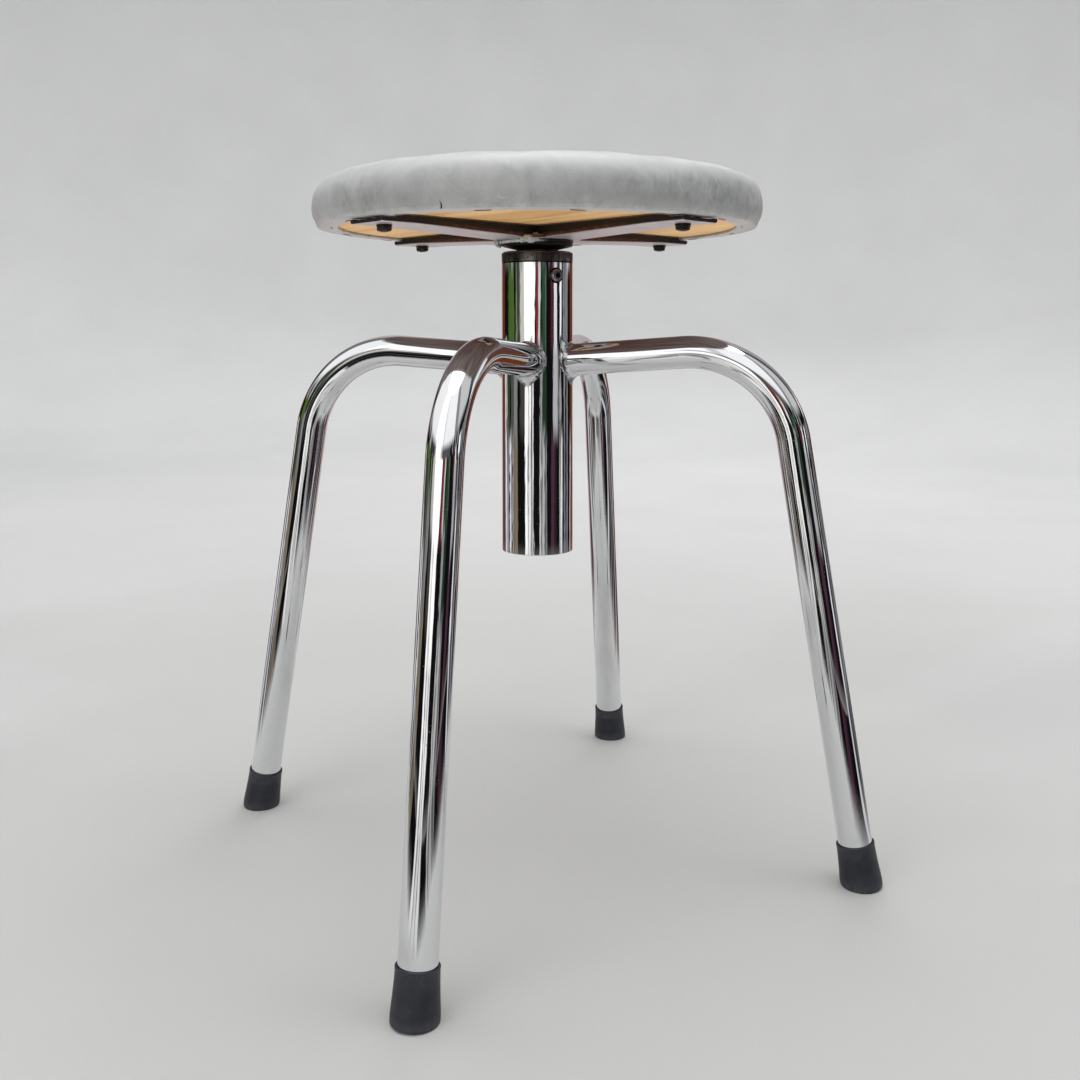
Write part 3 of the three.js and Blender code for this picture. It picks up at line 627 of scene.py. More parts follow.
MATS = {
    "chrome": chrome_material("chrome_plate"),
    "chrome_column": chrome_material("chrome_plate_column", wave=0.22, shadow_seam_z=0.4204),
    "screw": screw_material("blackened_screw"),
    "chrome_weld": chrome_material("chrome_plate_on_weld", wave=0.2, weld=True, rough=0.06),
    "bracket": bracket_material("bracket_plate"),
    "collar": dark_plate_material("blackened_collar"),
    "hub": black_steel_material("blackened_hub", (0.010, 0.009, 0.008), (0.07, 0.06, 0.055), 0.42, 0.5),
    "staple": black_steel_material("staple_steel", (0.23, 0.215, 0.21), (0.42, 0.40, 0.39), 0.45, 0.5),
    "fastener": black_steel_material("black_bolt", (0.014, 0.013, 0.012), (0.15, 0.13, 0.12), 0.36, 0.6),
    "spindle": steel_material("turned_steel", (0.50, 0.49, 0.47), 0.26, grease=1.0),
    "zinc": steel_material("zinc_plated", (0.62, 0.62, 0.60), 0.30),
    "weld": weld_material("raw_weld"),
    "rubber": rubber_material("tip_rubber_black"),
    "plywood": plywood_material("birch_plywood"),
    "nylon": nylon_material("natural_nylon"),
    "foam": foam_material("seat_foam"),
    "fabric": fabric_material("grey_leathercloth"),
}


def wear(ob, mat, slot, body, *nodes):
    ob.data.materials.clear()
    ob.data.materials.append(MATS[mat])
    if mat not in ("fabric", "foam"):
        wn = ob.modifiers.new("even_normals", "WEIGHTED_NORMAL")
        wn.keep_sharp, wn.weight = True, 60
    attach(ob, body)
    if nodes:
        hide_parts(*nodes)
    return ob


# ------------------------------------------------------------------ column
wear(
    lathe(
        "column",
        [
            (COLUMN_R - COLUMN_WALL, COLUMN_Z0, 0.35),
            (COLUMN_R, COLUMN_Z0, 0.6),
            (COLUMN_R, COLUMN_Z1, 0.15),
            (COLUMN_R - COLUMN_WALL, COLUMN_Z1, 0.15),
        ],
        160,
        closed=True,
        sharp=50,
    ),
    "chrome_column", "chrome", "base", "column_tube",
)

# ------------------------------------------------------------------ legs
arm_dir = Vector((1, ARM_RISE)).normalized()
leg_dir = Vector((LEG_SPLAY, -1)).normalized()
knee_r = (LEG_FOOT_R - LEG_SPLAY * ARM_Z) / (1 + LEG_SPLAY * ARM_RISE)
knee = Vector((knee_r, ARM_Z + ARM_RISE * knee_r))
bend = math.acos(arm_dir.dot(leg_dir))
setback = LEG_BEND_R * math.tan(bend / 2)
bend_start = knee - arm_dir * setback
inward = Vector((arm_dir.y, -arm_dir.x))
bend_centre = bend_start + inward * LEG_BEND_R


def leg_stations():
    """(point, tangent) down the leg's own (r, z) plane, without the coped inner end."""
    out = []
    start = Vector((31, ARM_Z + ARM_RISE * 31))
    for k in range(7):
        p = start.lerp(bend_start, k / 7)
        out.append((p, arm_dir))
    for k in range(49):
        a = bend * k / 48
        p = bend_centre - inward * (LEG_BEND_R * math.cos(a)) + arm_dir * (LEG_BEND_R * math.sin(a))
        out.append((p, arm_dir * math.cos(a) + inward * math.sin(a)))
    end = Vector((LEG_FOOT_R - LEG_SPLAY * LEG_END_Z, LEG_END_Z))
    last = out[-1][0]
    for k in range(1, 15):
        out.append((last.lerp(end, k / 14), leg_dir))
    return out


def leg_mesh(name, turn):
    segs = 64
    stations = leg_stations()
    shells = []
    for radius in (LEG_R, LEG_R - LEG_WALL):
        rings, grain, s = [], [], 0.0
        # coped end: each line of the tube runs in to the column's surface
        coped, cg = [], []
        for j in range(segs):
            a = 2 * PI * j / segs
            e = Vector((-arm_dir.y * math.cos(a), math.sin(a), arm_dir.x * math.cos(a)))
            y = e.y * radius
            x = math.sqrt((COLUMN_R - 0.15) ** 2 - y * y)
            t = (x - e.x * radius) / arm_dir.x
            coped.append((arm_dir.x * t + e.x * radius, y, ARM_Z + arm_dir.y * t + e.z * radius))
            cg.append((radius * math.cos(a), radius * math.sin(a), t))
        rings.append(coped)
        grain.append(cg)
        before = Vector((0, ARM_Z))
        for p, t in stations:
            s += (p - before).length
            before = p
            ring, gr = [], []
            for j in range(segs):
                a = 2 * PI * j / segs
                nrm = Vector((-t.y, t.x))  # in the leg's plane, square to the line
                # flattening of the tube through its bend: none (k = 0)
                k = 0.0
                q = p + nrm * (radius * (1 - k) * math.cos(a))
                ring.append((q.x, radius * math.sin(a), q.y))
                gr.append((radius * math.cos(a), radius * math.sin(a), s))
            rings.append(ring)
            grain.append(gr)
        shells.append((rings, grain))
    verts, gr, faces = [], [], []
    ids = []
    for rings, grain in shells:
        ids.append([])
        for ring, g in zip(rings, grain):
            ids[-1].append(list(range(len(verts), len(verts) + segs)))
            verts += ring
            gr += g
    outer, inner = ids
    for rows in ids:
        for low, high in zip(rows, rows[1:]):
            for j in range(segs):
                k = (j + 1) % segs
                faces.append([low[j], low[k], high[k], high[j]])
    for a, b in ((outer[0], inner[0]), (outer[-1], inner[-1])):
        for j in range(segs):
            k = (j + 1) % segs
            faces.append([a[j], a[k], b[k], b[j]])
    m = spin_z(turn)
    verts = [tuple(m @ Vector(v)) for v in verts]
    # each leg carries its own draw marks
    shift = 37.0 * (1 + SIDES.index(name.split("_")[-1]))
    gr = [(x, y, z + shift * 11) for x, y, z in gr]
    return make(name, verts, faces, 40, grain=gr)


def arm_weld(name, turn, seed):
    """A chromed fillet bead round the saddle, drawn to a point under the arm."""
    n = 128
    cos_a, sin_a = arm_dir.x, arm_dir.y
    section = 11
    rows = []
    for i in range(n):
        a = 2 * PI * i / n
        e = Vector((-sin_a * math.cos(a), math.sin(a), cos_a * math.cos(a)))
        from_low = abs((a - PI + PI) % (2 * PI) - PI)  # 0 under the arm
        lip = math.exp(-((from_low / 0.34) ** 2)) ** 0.8
        broad = math.exp(-((from_low / 1.1) ** 2))
        beat = a * 27 + 3.4 * n3(math.cos(a) * 1.9, math.sin(a) * 1.9, seed + 3)
        ripple = 0.10 * math.sin(beat) * (0.5 + 0.5 * n3(math.cos(a) * 3, math.sin(a) * 3, seed + 9)) + 0.6 * n3(math.cos(a) * 2.4 + seed, math.sin(a) * 2.4, seed)
        ripple += 0.22 * n3(math.cos(a) * 9, math.sin(a) * 9, seed + 5)
        out = 1.9 + 0.9 * broad + 4.3 * lip + 0.6 * ripple
        along = 2.5 + 2.0 * broad + 1.8 * lip + 0.8 * ripple
        r0 = LEG_R - 0.12

        def wall(rho, g):
            y = e.y * rho
            x = math.sqrt(max((COLUMN_R + g) ** 2 - y * y, 0))
            return (x - e.x * rho) / cos_a

        def at(rho, t):
            return (cos_a * t + e.x * rho, e.y * rho, ARM_Z + sin_a * t + e.z * rho)

        row = []
        for k in range(section):
            f = k / (section - 1)
            # concave quarter from the arm (f=0) to the column (f=1)
            w = f * PI / 2
            rho = LEG_R + 0.02 + out * (1 - math.cos(w)) ** 1.05
            lift = along * (1 - math.sin(w)) ** 1.05
            bulge = 0.42 * math.sin(2 * w) * (0.7 + ripple)
            t = wall(rho, 0.02) + lift + bulge
            row.append(at(rho + bulge * 0.8, t))
        row.append(at(LEG_R + out, wall(LEG_R + out, -0.5)))
        row.append(at(r0, wall(r0, -0.5)))
        row.append(at(r0 - 0.25, wall(r0, 0.0) + along * 0.8))
        rows.append(row)
    m = len(rows[0])
    verts = [p for row in rows for p in row]
    faces = []
    for i in range(n):
        j = (i + 1) % n
        for k in range(m):
            l = (k + 1) % m
            faces.append([i * m + k, i * m + l, j * m + l, j * m + k])
    sp = spin_z(turn)
    verts = [tuple(sp @ Vector(v)) for v in verts]
    return make(name, verts, faces, 60)


# rubber tip, turned on the leg's own axis and pressed flat on the floor
splay = math.atan(LEG_SPLAY)
TIP = [
    (0, -2.2), (6, -2.2), (10.2, -2.2), (13.85, -1.2, 3.2), (13.85, 4.6, 1.5), (13.55, 8.5), (13.15, 13.5), (12.8, 19),
    (12.55, 24.5, 2.0), (12.42, 27.4, 0.5), (12.62, 28.1, 0.4), (12.62, 29.5, 0.55), (11.34, 29.5, 0.5), (11.34, 26), (11.34, 7.2, 0.4), (0, 7.2),
]
# (the bore holds the leg, which goes down inside it to LEG_END_Z)


def tip_mesh(name, turn, seed):
    m = spin_z(turn) @ Matrix.Translation((LEG_FOOT_R, 0, 0)) @ Matrix.Rotation(-splay, 4, "Y")
    pts = rounded(TIP, False, 7)

    def warp(r, z, a):
        if z > 7.5 and r > 11.6:
            r = r + 0.10 * n3(math.cos(a) * 1.6 + seed, math.sin(a) * 1.6, z * 0.09)
        return r, z

    v, f = lathe_arrays(pts, 96, False, warp)
    out = []
    for p in v:
        q = m @ Vector(p)
        if q.z < 0:
            q.z = 0.0
        out.append(tuple(q))
    return make(name, out, f, 40)


def on_leg(turn):
    return spin_z(turn) @ Matrix.Translation((LEG_FOOT_R, 0, 0)) @ Matrix.Rotation(-splay, 4, "Y")


for i, side in enumerate(SIDES):
    turn = -PI / 2 + i * PI / 2
    wear(leg_mesh(f"tube_leg_{side}", turn), "chrome", "chrome", "base", f"leg_{side}")
    wear(arm_weld(f"weld_bead_{side}", turn, 3.1 + 5.7 * i), "chrome_weld", "chrome", "base", f"arm_weld_{side}")
    wear(tip_mesh(f"rubber_tip_{side}", turn, 1.3 * i), "rubber", "tip_rubber", "base", f"foot_tip_{side}")
    wear(
        lathe(
            f"tip_washer_{side}",
            [(3.2, 7.5, 0.2), (10.8, 7.5, 0.3), (10.8, 9.1, 0.3), (3.2, 9.1, 0.2)],
            64, closed=True, matrix=on_leg(turn),
        ),
        "zinc", "zinc_steel", "base", f"foot_washer_{side}",
    )

# ------------------------------------------------------------------ thread
DEPTH = THREAD_R - THREAD_ROOT
CREST = 0.366 * PITCH
FLANK = DEPTH * math.tan(rad(15))


def helix(profile, z0, z1, root, segs, fade=2.0):
    """Vertices and faces of a helical thread between two flat rings of radius root. profile is [(z in one pitch, radius)]."""
    m = len(profile)
    first = math.floor(z0 / PITCH) - 2
    turns = math.ceil((z1 - z0) / PITCH) + 5
    count = turns * m + 1
    verts = []

    def place(i, k):
        dz, r = profile[k % m]
        a = 2 * PI * i / segs
        z = PITCH * (first + k // m + i / segs) + dz
        edge = min(z - z0, z1 - z) / fade
        f = min(1.0, max(0.0, edge))
        f = f * f * (3 - 2 * f)
        r = root + (r - root) * f
        z = min(z1, max(z0, z))
        return (r * math.cos(a), r * math.sin(a), z)

    ids = []
    for i in range(segs):
        col = []
        for k in range(count):
            col.append(len(verts))
            verts.append(place(i, k))
        ids.append(col)
    faces = []
    for i in range(segs):
        for k in range(count - 1):
            if i < segs - 1:
                a, b, c, d = ids[i][k], ids[i + 1][k], ids[i + 1][k + 1], ids[i][k + 1]
            else:
                if k + 1 + m >= count:
                    continue
                a, b, c, d = ids[i][k], ids[0][k + m], ids[0][k + 1 + m], ids[i][k + 1]
            zs = [verts[q][2] for q in (a, b, c, d)]
            if max(zs) - min(zs) < 1e-9 and (zs[0] <= z0 + 1e-9 or zs[0] >= z1 - 1e-9):
                continue
            faces.append([a, b, c, d])
    return verts, faces


def join_arrays(*parts):
    verts, faces = [], []
    for v, f in parts:
        n = len(verts)
        verts += list(v)
        faces += [[q + n for q in face] for face in f]
    return verts, faces


def fine(profile_pts):
    """Eases the corners of one pitch of thread."""
    out = []
    for (za, ra), (zb, rb) in zip(profile_pts, profile_pts[1:] + [(profile_pts[0][0] + PITCH, profile_pts[0][1])]):
        out.append((za, ra))
        if abs(ra - rb) > 0.5:
            d = 0.16
            f = d / abs(rb - ra)
            out.append((za + (zb - za) * f, ra + (rb - ra) * f))
            out.append((zb - (zb - za) * f, rb - (rb - ra) * f))
    return out


SEGS = 72
screw = fine([(0.12, THREAD_R), (CREST - 0.12, THREAD_R), (CREST + FLANK + 0.12, THREAD_ROOT), (PITCH - FLANK - 0.12, THREAD_ROOT)])
hv, hf = helix(screw, THREAD_Z0, THREAD_Z1, THREAD_ROOT, SEGS)
top_v, top_f = lathe_arrays(
    [(THREAD_ROOT, THREAD_Z1)] + rounded([(THREAD_ROOT, THREAD_Z1), (9.0, THREAD_Z1, 0.2), (9.0, 439.6, 0.2), (12.5, 439.6, 0.4), (12.2, 440.9, 0.8), (8.0, 442.25, 1.5), (0, 442.3)])[1:],
    SEGS,
)
low_v, low_f = lathe_arrays(
    [(THREAD_ROOT, THREAD_Z0)] + rounded([(THREAD_ROOT, THREAD_Z0), (8.0, THREAD_Z0, 0.4), (8.0, 236.8, 0.5), (4.3, 236.8, 0.2), (4.3, 252.5), (0, 254.5)])[1:],
    SEGS,
)
v, f = join_arrays((hv, hf), (top_v, top_f), (low_v, low_f))
wear(make("screw_spindle", v, f, 33, merge=0.004), "spindle", "bare_steel", "seat", "lift_spindle")

# threaded bush: collar on the tube's end, long nut inside
tap = fine([(-0.20, THREAD_R + 0.6), (CREST + 0.20, THREAD_R + 0.6), (CREST + FLANK + 0.42, THREAD_ROOT + 0.6), (PITCH - FLANK - 0.42, THREAD_ROOT + 0.6)])
BORE = THREAD_R + 0.6
iv, if_ = helix(tap, BUSH_Z0 + 1.0, FLANGE_Z1 - 1.0, BORE, SEGS, fade=1.5)
body = [(BORE, FLANGE_Z1 - 1.0)] + rounded(
    [
        (BORE, FLANGE_Z1 - 1.0), (BORE + 1.0, FLANGE_Z1, 0.2), (COLUMN_R - 1.1, FLANGE_Z1, 0.9), (COLUMN_R - 0.05, FLANGE_Z1 - 1.2, 0.9),
        (COLUMN_R + 0.05, FLANGE_Z0 + 0.35, 0.3), (COLUMN_R - 0.5, FLANGE_Z0 - 0.2, 0.2), (COLUMN_R - 1.8, FLANGE_Z0 - 0.2),
        (COLUMN_R - 1.8, BUSH_Z0, 0.8), (BORE + 1.0, BUSH_Z0, 0.2), (BORE, BUSH_Z0 + 1.0),
    ]
)[1:]
bv, bf = lathe_arrays(body, SEGS)
v, f = join_arrays((iv, if_), (bv, bf))
bush = make("threaded_bush", v, f, 33, merge=0.004)
wear(bush, "collar", "blackened_steel", "base", "thread_bush")


# bush screws
def radial(azimuth, z):
    return Matrix.Translation((0, 0, z)) @ spin_z(rad(azimuth) - PI / 2) @ Matrix.Rotation(PI / 2, 4, "Y")


def socket_screw(name, az):
    R = COLUMN_R
    head = lathe(
        name,
        [(0, 17.8), (2.5, 17.8, 0.3), (2.5, R - 0.6), (5.3, R - 0.6), (5.5, R + 0.45, 0.25), (4.5, R + 0.75, 0.25), (4.25, R + 1.9, 1.0), (3.3, R + 2.75, 0.9), (2.45, R + 2.95, 0.2), (0, R + 2.95)],
        96, sharp=40,
    )
    socket = lathe("socket", [(0, R + 0.9), (2.15, R + 0.9), (2.15, R + 2.7), (2.7, R + 3.3), (0, R + 3.3)], 6, sharp=30)
    boolean(head, socket, "DIFFERENCE")
    head.data.transform(Matrix.Diagonal((S, S, S, 1)) @ radial(az, SCREW_Z) @ spin_z(rad(17)) @ Matrix.Diagonal((1 / S, 1 / S, 1 / S, 1)))
    finish_mesh(head, 40)
    return head


for k, az in (("a", SCREW_AZ), ("b", SCREW_AZ + 180)):
    wear(socket_screw(f"button_screw_{k}", az), "screw", "black_fastener", "base", f"bush_screw_{k}")

# guide ring, end washer and end screw, inside the tube at the spindle's foot
wear(
    lathe("nylon_guide", [(8.3, 237.1, 0.4), (22.9, 237.1, 0.5), (23.5, 238.3, 0.6), (23.5, 249.9, 0.6), (22.9, 251.1, 0.5), (8.3, 251.1, 0.4)], 128, closed=True),
    "nylon", "nylon", "guide", "guide_ring",
)
wear(lathe("end_washer", [(4.3, 234.3, 0.2), (15, 234.3, 0.4), (15, 236.5, 0.4), (4.3, 236.5, 0.2)], 96, closed=True), "zinc", "zinc_steel", "seat", "spindle_end_washer")


def hex_head(name, across, z_low, z_high, dome=0.0, shank=None, flange=None, segs=72):
    """A hexagon head that points down (z_low is its outer face), chamfered by its round, with a shank upwards."""
    prof = []
    verts = []
    rings = []
    corner = across / 2 / math.cos(PI / 6)

    def ring(fn_r, fn_z):
        row = []
        for j in range(segs):
            a = 2 * PI * j / segs
            row.append(len(verts))
            r = fn_r(a)
            verts.append((r * math.cos(a), r * math.sin(a), fn_z(a, r)))
        rings.append(row)

    def hexr(a):
        b = (a + PI / 6) % (PI / 3) - PI / 6
        return min(across / 2 / math.cos(b), corner * 0.985)

    def cone(a, r, base, s):  # the 30 degree chamfer bites the corners only
        return base + s * max(0.0, (r - across / 2 * 0.965)) * 0.62

    face_r = across / 2 * 0.90
    pole = len(verts)
    verts.append((0, 0, z_low - dome))
    ring(lambda a: face_r * 0.45, lambda a, r: z_low - dome * 0.78)
    ring(lambda a: face_r * 0.80, lambda a, r: z_low - dome * 0.32)
    ring(lambda a: face_r, lambda a, r: z_low)
    ring(lambda a: min(hexr(a), across / 2 * 0.965), lambda a, r: z_low + 0.10)
    ring(lambda a: hexr(a), lambda a, r: cone(a, r, z_low + 0.16, 1))
    ring(lambda a: hexr(a), lambda a, r: cone(a, r, z_low + 0.16, 1) * 0 + max(z_low + 0.9, cone(a, r, z_low + 0.16, 1)))
    if flange:
        ring(lambda a: hexr(a), lambda a, r: z_high - 0.95)
        ring(lambda a: flange - 0.35, lambda a, r: z_high - 0.62)
        ring(lambda a: flange, lambda a, r: z_high - 0.35)
        ring(lambda a: flange, lambda a, r: z_high)
    else:
        ring(lambda a: hexr(a), lambda a, r: z_high - 0.2)
        ring(lambda a: hexr(a) - 0.25, lambda a, r: z_high)
    sr, sz = shank
    ring(lambda a: sr, lambda a, r: z_high)
    ring(lambda a: sr, lambda a, r: sz - 0.6)
    ring(lambda a: sr - 0.6, lambda a, r: sz)
    end = len(verts)
    verts.append((0, 0, sz))
    faces = []
    for j in range(segs):
        k = (j + 1) % segs
        faces.append([pole, rings[0][k], rings[0][j]])
        faces.append([end, rings[-1][j], rings[-1][k]])
    for lo, hi in zip(rings, rings[1:]):
        for j in range(segs):
            k = (j + 1) % segs
            faces.append([lo[j], lo[k], hi[k], hi[j]])
    return verts, faces


v, f = hex_head("x", 13.0, 228.75, 234.0, 0.0, (3.9, 252.0))
wear(make("end_screw", v, f, 28, merge=0.002), "fastener", "black_fastener", "seat", "spindle_end_screw")

# ------------------------------------------------------------------ hub
wear(
    lathe("hub_disc", [(9.4, HUB_Z0, 0.3), (15.0, HUB_Z0, 1.2), (HUB_R, HUB_Z0 + 2.5, 0.7), (HUB_R, HUB_Z1, 0.5), (BOSS_R, HUB_Z1, 0.3), (BOSS_R, WEB_Z - 0.3, 0.3), (9.4, WEB_Z - 0.3, 0.2)], 128, closed=True),
    "hub", "blackened_steel", "seat", "hub_plate",
)


def hub_weld():
    """A hand-laid bead round the plate's rim: thin all round, with heavy gobs over the two near-left corners."""
    rng = np.random.default_rng(11)
    look = ROUND - PI / 2
    gobs = []
    for i in range(150):
        a = 2 * PI * i / 150
        lump = n3(math.cos(a) * 5.2, math.sin(a) * 5.2, 1.7)
        psi = (math.degrees(a - look) + 180) % 360 - 180
        heavy = 1.0 if -98 < psi < -2 else 0.0
        R = 24.6 + 0.25 * lump + 0.5 * heavy
        gobs.append((R * math.cos(a), R * math.sin(a), 435.65, 1.22 + 0.10 * lump + 0.22 * heavy))

    def put(psi, r, z, size):
        a = look + rad(psi)
        gobs.append((r * math.cos(a), r * math.sin(a), z, size))

    # along the foot of the near-left arm's flange, out from its corner
    a0 = ARM_TURNS[0]
    for k in range(12):
        t = k / 11
        along = 18.2 + 13.5 * t
        q = spin_z(a0) @ Vector((along, 18.1, 0))
        up = 438.2 + 0.9 * math.sin(2.2 + 7.5 * t) * (1 - 0.5 * t) - 2.1 * t
        gobs.append((q.x, q.y, up, (2.15 - 0.95 * t) + 0.30 * float(rng.normal())))
        gobs.append((q.x, q.y, up - 2.3, 1.6 - 0.5 * t + 0.2 * float(rng.normal())))
    # round the left corner, hanging under the web
    for psi, r, z, size in (
        (-92, 26.2, 435.9, 2.2), (-94, 27.2, 437.0, 1.8), (-87, 27.9, 434.9, 2.0), (-83, 29.4, 435.0, 1.7), (-80, 28.8, 433.2, 1.35), (-86, 27.0, 432.7, 1.4),
        (-91, 26.6, 433.4, 1.5), (-97, 27.4, 435.6, 1.6), (-79, 28.6, 435.4, 1.5), (-70, 27.0, 435.4, 1.3), (-62, 26.6, 435.4, 1.2), (-52, 26.2, 435.5, 1.3), (-43, 26.3, 435.6, 1.1),
    ):
        put(psi, r, z, size)
    verts, faces = [], []
    for x, y, z, size in gobs:
        base, m, k = len(verts), 12, 7
        verts.append((x, y, z - size))
        for p in range(1, k):
            b = -PI / 2 + PI * p / k
            for q in range(m):
                c = 2 * PI * q / m
                verts.append((x + size * math.cos(b) * math.cos(c), y + size * math.cos(b) * math.sin(c), z + size * math.sin(b)))
        verts.append((x, y, z + size))
        top = len(verts) - 1
        for q in range(m):
            w = (q + 1) % m
            faces.append([base, base + 1 + w, base + 1 + q])
            for p in range(k - 2):
                l = base + 1 + p * m
                faces.append([l + q, l + w, l + m + w, l + m + q])
            l = base + 1 + (k - 2) * m
            faces.append([l + q, l + w, top])
    ob = make("hub_bead", verts, faces, 60)
    mod = ob.modifiers.new("melt", "REMESH")
    mod.mode, mod.voxel_size, mod.adaptivity = "VOXEL", 0.36 * S, 0
    dg = bpy.context.evaluated_depsgraph_get()
    me = bpy.data.meshes.new_from_object(ob.evaluated_get(dg))
    ob.modifiers.clear()
    ob.data = me
    bm = bmesh.new()
    bm.from_mesh(me)
    for _ in range(3):
        bmesh.ops.smooth_vert(bm, verts=bm.verts, factor=0.5, use_axis_x=True, use_axis_y=True, use_axis_z=True)
    bm.normal_update()
    for v in bm.verts:
        p = v.co / S
        v.co += v.normal * (S * (0.16 * n3(p.x * 0.9, p.y * 0.9, p.z * 0.9) + 0.08 * n3(p.x * 2.4, p.y * 2.4, p.z * 2.4)))
    bm.to_mesh(me)
    bm.free()
    g = me.attributes.new("grain", "FLOAT_VECTOR", "POINT")
    co = np.zeros(len(me.vertices) * 3, np.float32)
    me.vertices.foreach_get("co", co)
    g.data.foreach_set("vector", co)
    finish_mesh(ob, 60)
    return ob


wear(hub_weld(), "weld", "blackened_steel", "seat", "hub_weld")

# ------------------------------------------------------------------ seat bracket


def ease(x, knots, soft):
    """Piecewise linear through knots, with its corners eased over +-soft."""

    def line(t):
        for (x0, y0), (x1, y1) in zip(knots, knots[1:]):
            if t <= x1:
                return y0 + (y1 - y0) * (t - x0) / (x1 - x0)
        return knots[-1][1]

    return sum(line(x + soft * (k - 4) / 4) for k in range(9)) / 9


def arm_mesh(name, turn):
    half, t, tw, R = ARM_HALF, 2.2, 2.5, 1.9
    ri = 0.5
    xs = [15.3, 18, 21, 23, 25, 26, 27, 29, 31, 35] + list(np.linspace(42, 108, 8)) + [111, 113, 115, 117, 118, 119, 121, 123, 126, 130, 133.6, 134.6, 135.8, 137.0, 138.0, 141, 145.4, 146.6, 147.0]
    rows = []
    for x in xs:
        zb = ease(x, [(-50, WEB_Z), (26, WEB_Z), (TAB_R0, TAB_Z), (400, TAB_Z)], 4.0)
        zt = ease(x, [(-50, BOARD_Z0 - 0.4), (134, BOARD_Z0 - 0.4), (137.5, FOLD_Z - 0.3), (400, FOLD_Z - 0.3)], 0.5)
        tip = max(0.0, (x - 145.4) / 1.6)  # the cut end is a little eased
        h, lo = half - 0.5 * tip ** 2, zb + 0.4 * tip ** 2
        hi = zt - 0.4 * tip ** 2
        R2 = min(R, (hi - lo) * 0.8)
        pts = []
        pts.append((-h + 0.35, hi))
        pts.append((-h, hi - 0.35))
        for k in range(7):
            b = PI + PI / 2 * k / 6
            pts.append((-h + R2 + R2 * math.cos(b), lo + R2 + R2 * math.sin(b)))
        for k in range(1, 6):
            pts.append((-h + R2 + (2 * h - 2 * R2) * k / 6, lo))
        for k in range(7):
            b = 1.5 * PI + PI / 2 * k / 6
            pts.append((h - R2 + R2 * math.cos(b), lo + R2 + R2 * math.sin(b)))
        pts.append((h, hi - 0.35))
        pts.append((h - 0.35, hi))
        pts.append((h - t + 0.3, hi))
        pts.append((h - t, hi - 0.3))
        li = zb + tw
        hh = half - t
        for k in range(4):
            b = 0 - PI / 2 * k / 3
            pts.append((hh - ri + ri * math.cos(b), li + ri + ri * math.sin(b)))
        for k in range(1, 4):
            pts.append((hh - ri - (2 * hh - 2 * ri) * k / 4, li))
        for k in range(4):
            b = -PI / 2 - PI / 2 * k / 3
            pts.append((-hh + ri + ri * math.cos(b), li + ri + ri * math.sin(b)))
        pts.append((-h + t, hi - 0.3))
        pts.append((-h + t - 0.3, hi))
        rows.append([(x, y, z) for y, z in pts])
    m = len(rows[0])
    verts = [p for row in rows for p in row]
    faces = []
    for i in range(len(rows) - 1):
        for k in range(m):
            l = (k + 1) % m
            faces.append([i * m + k, (i + 1) * m + k, (i + 1) * m + l, i * m + l])
    faces.append(list(range(m)))
    faces.append([(len(rows) - 1) * m + k for k in reversed(range(m))])
    sp = spin_z(turn)
    return make(name, [tuple(sp @ Vector(v)) for v in verts], faces, 30)


spider = arm_mesh("pressed_bracket", ARM_TURNS[0])
for k in (1, 2, 3):
    boolean(spider, arm_mesh("arm", ARM_TURNS[k]), "UNION")
disc = lathe("disc", [(0, WEB_Z), (31, WEB_Z, 0.5), (31, WEB_Z + 2.5, 0.5), (0, WEB_Z + 2.5)], 96)
boolean(spider, disc, "UNION")
boolean(spider, lathe("hole", [(0, 430), (9.4, 430), (9.4, 442), (0, 442)], 48), "DIFFERENCE")
for a in ARM_TURNS:
    boolean(
        spider,
        lathe("hole", [(0, 430), (3.4, 430), (3.4, 450), (0, 450)], 32, matrix=spin_z(a) @ Matrix.Translation((BOLT_R, 0, 0))),
        "DIFFERENCE",
    )
finish_mesh(spider, 28)
g = spider.data.attributes.get("grain")
if g is not None:
    spider.data.attributes.remove(g)
g = spider.data.attributes.new("grain", "FLOAT_VECTOR", "POINT")
co = np.zeros(len(spider.data.vertices) * 3, np.float32)
spider.data.vertices.foreach_get("co", co)
g.data.foreach_set("vector", co)
wear(spider, "bracket", "bracket_chrome", "seat", "seat_bracket")

# ------------------------------------------------------------------ seat fasteners
for i, a in enumerate(ARM_TURNS):
    place = spin_z(a) @ Matrix.Translation((BOLT_R, 0, 0))
    v, f = hex_head("b", 8.5, 436.0, 438.6, 0.75, (3.0, 456.4), flange=5.0)
    v = [tuple(place @ spin_z(0.7 + 1.9 * i) @ Vector(p)) for p in v]
    wear(make(f"flange_bolt_{i + 1}", v, f, 28, merge=0.002), "fastener", "black_fastener", "seat", f"seat_bolt_{i + 1}")
    wear(
        lathe(f"washer_{i + 1}", [(3.4, 439.0, 0.15), (5.1, 439.0, 0.3), (5.1, 439.98, 0.3), (3.4, 439.98, 0.15)], 64, closed=True, matrix=place),
        "fastener", "zinc_steel", "seat", f"bolt_washer_{i + 1}",
    )
    wear(
        lathe(
            f"tee_nut_barrel_{i + 1}",
            [(3.3, 448.4, 0.2), (4.3, 448.4, 0.3), (4.3, 456.7, 0.3), (9.4, 456.7, 0.3), (9.4, 457.9, 0.3), (3.3, 457.9, 0.2)],
            64, closed=True, matrix=place,
        ),
        "zinc", "zinc_steel", "seat", f"tee_nut_{i + 1}",
    )

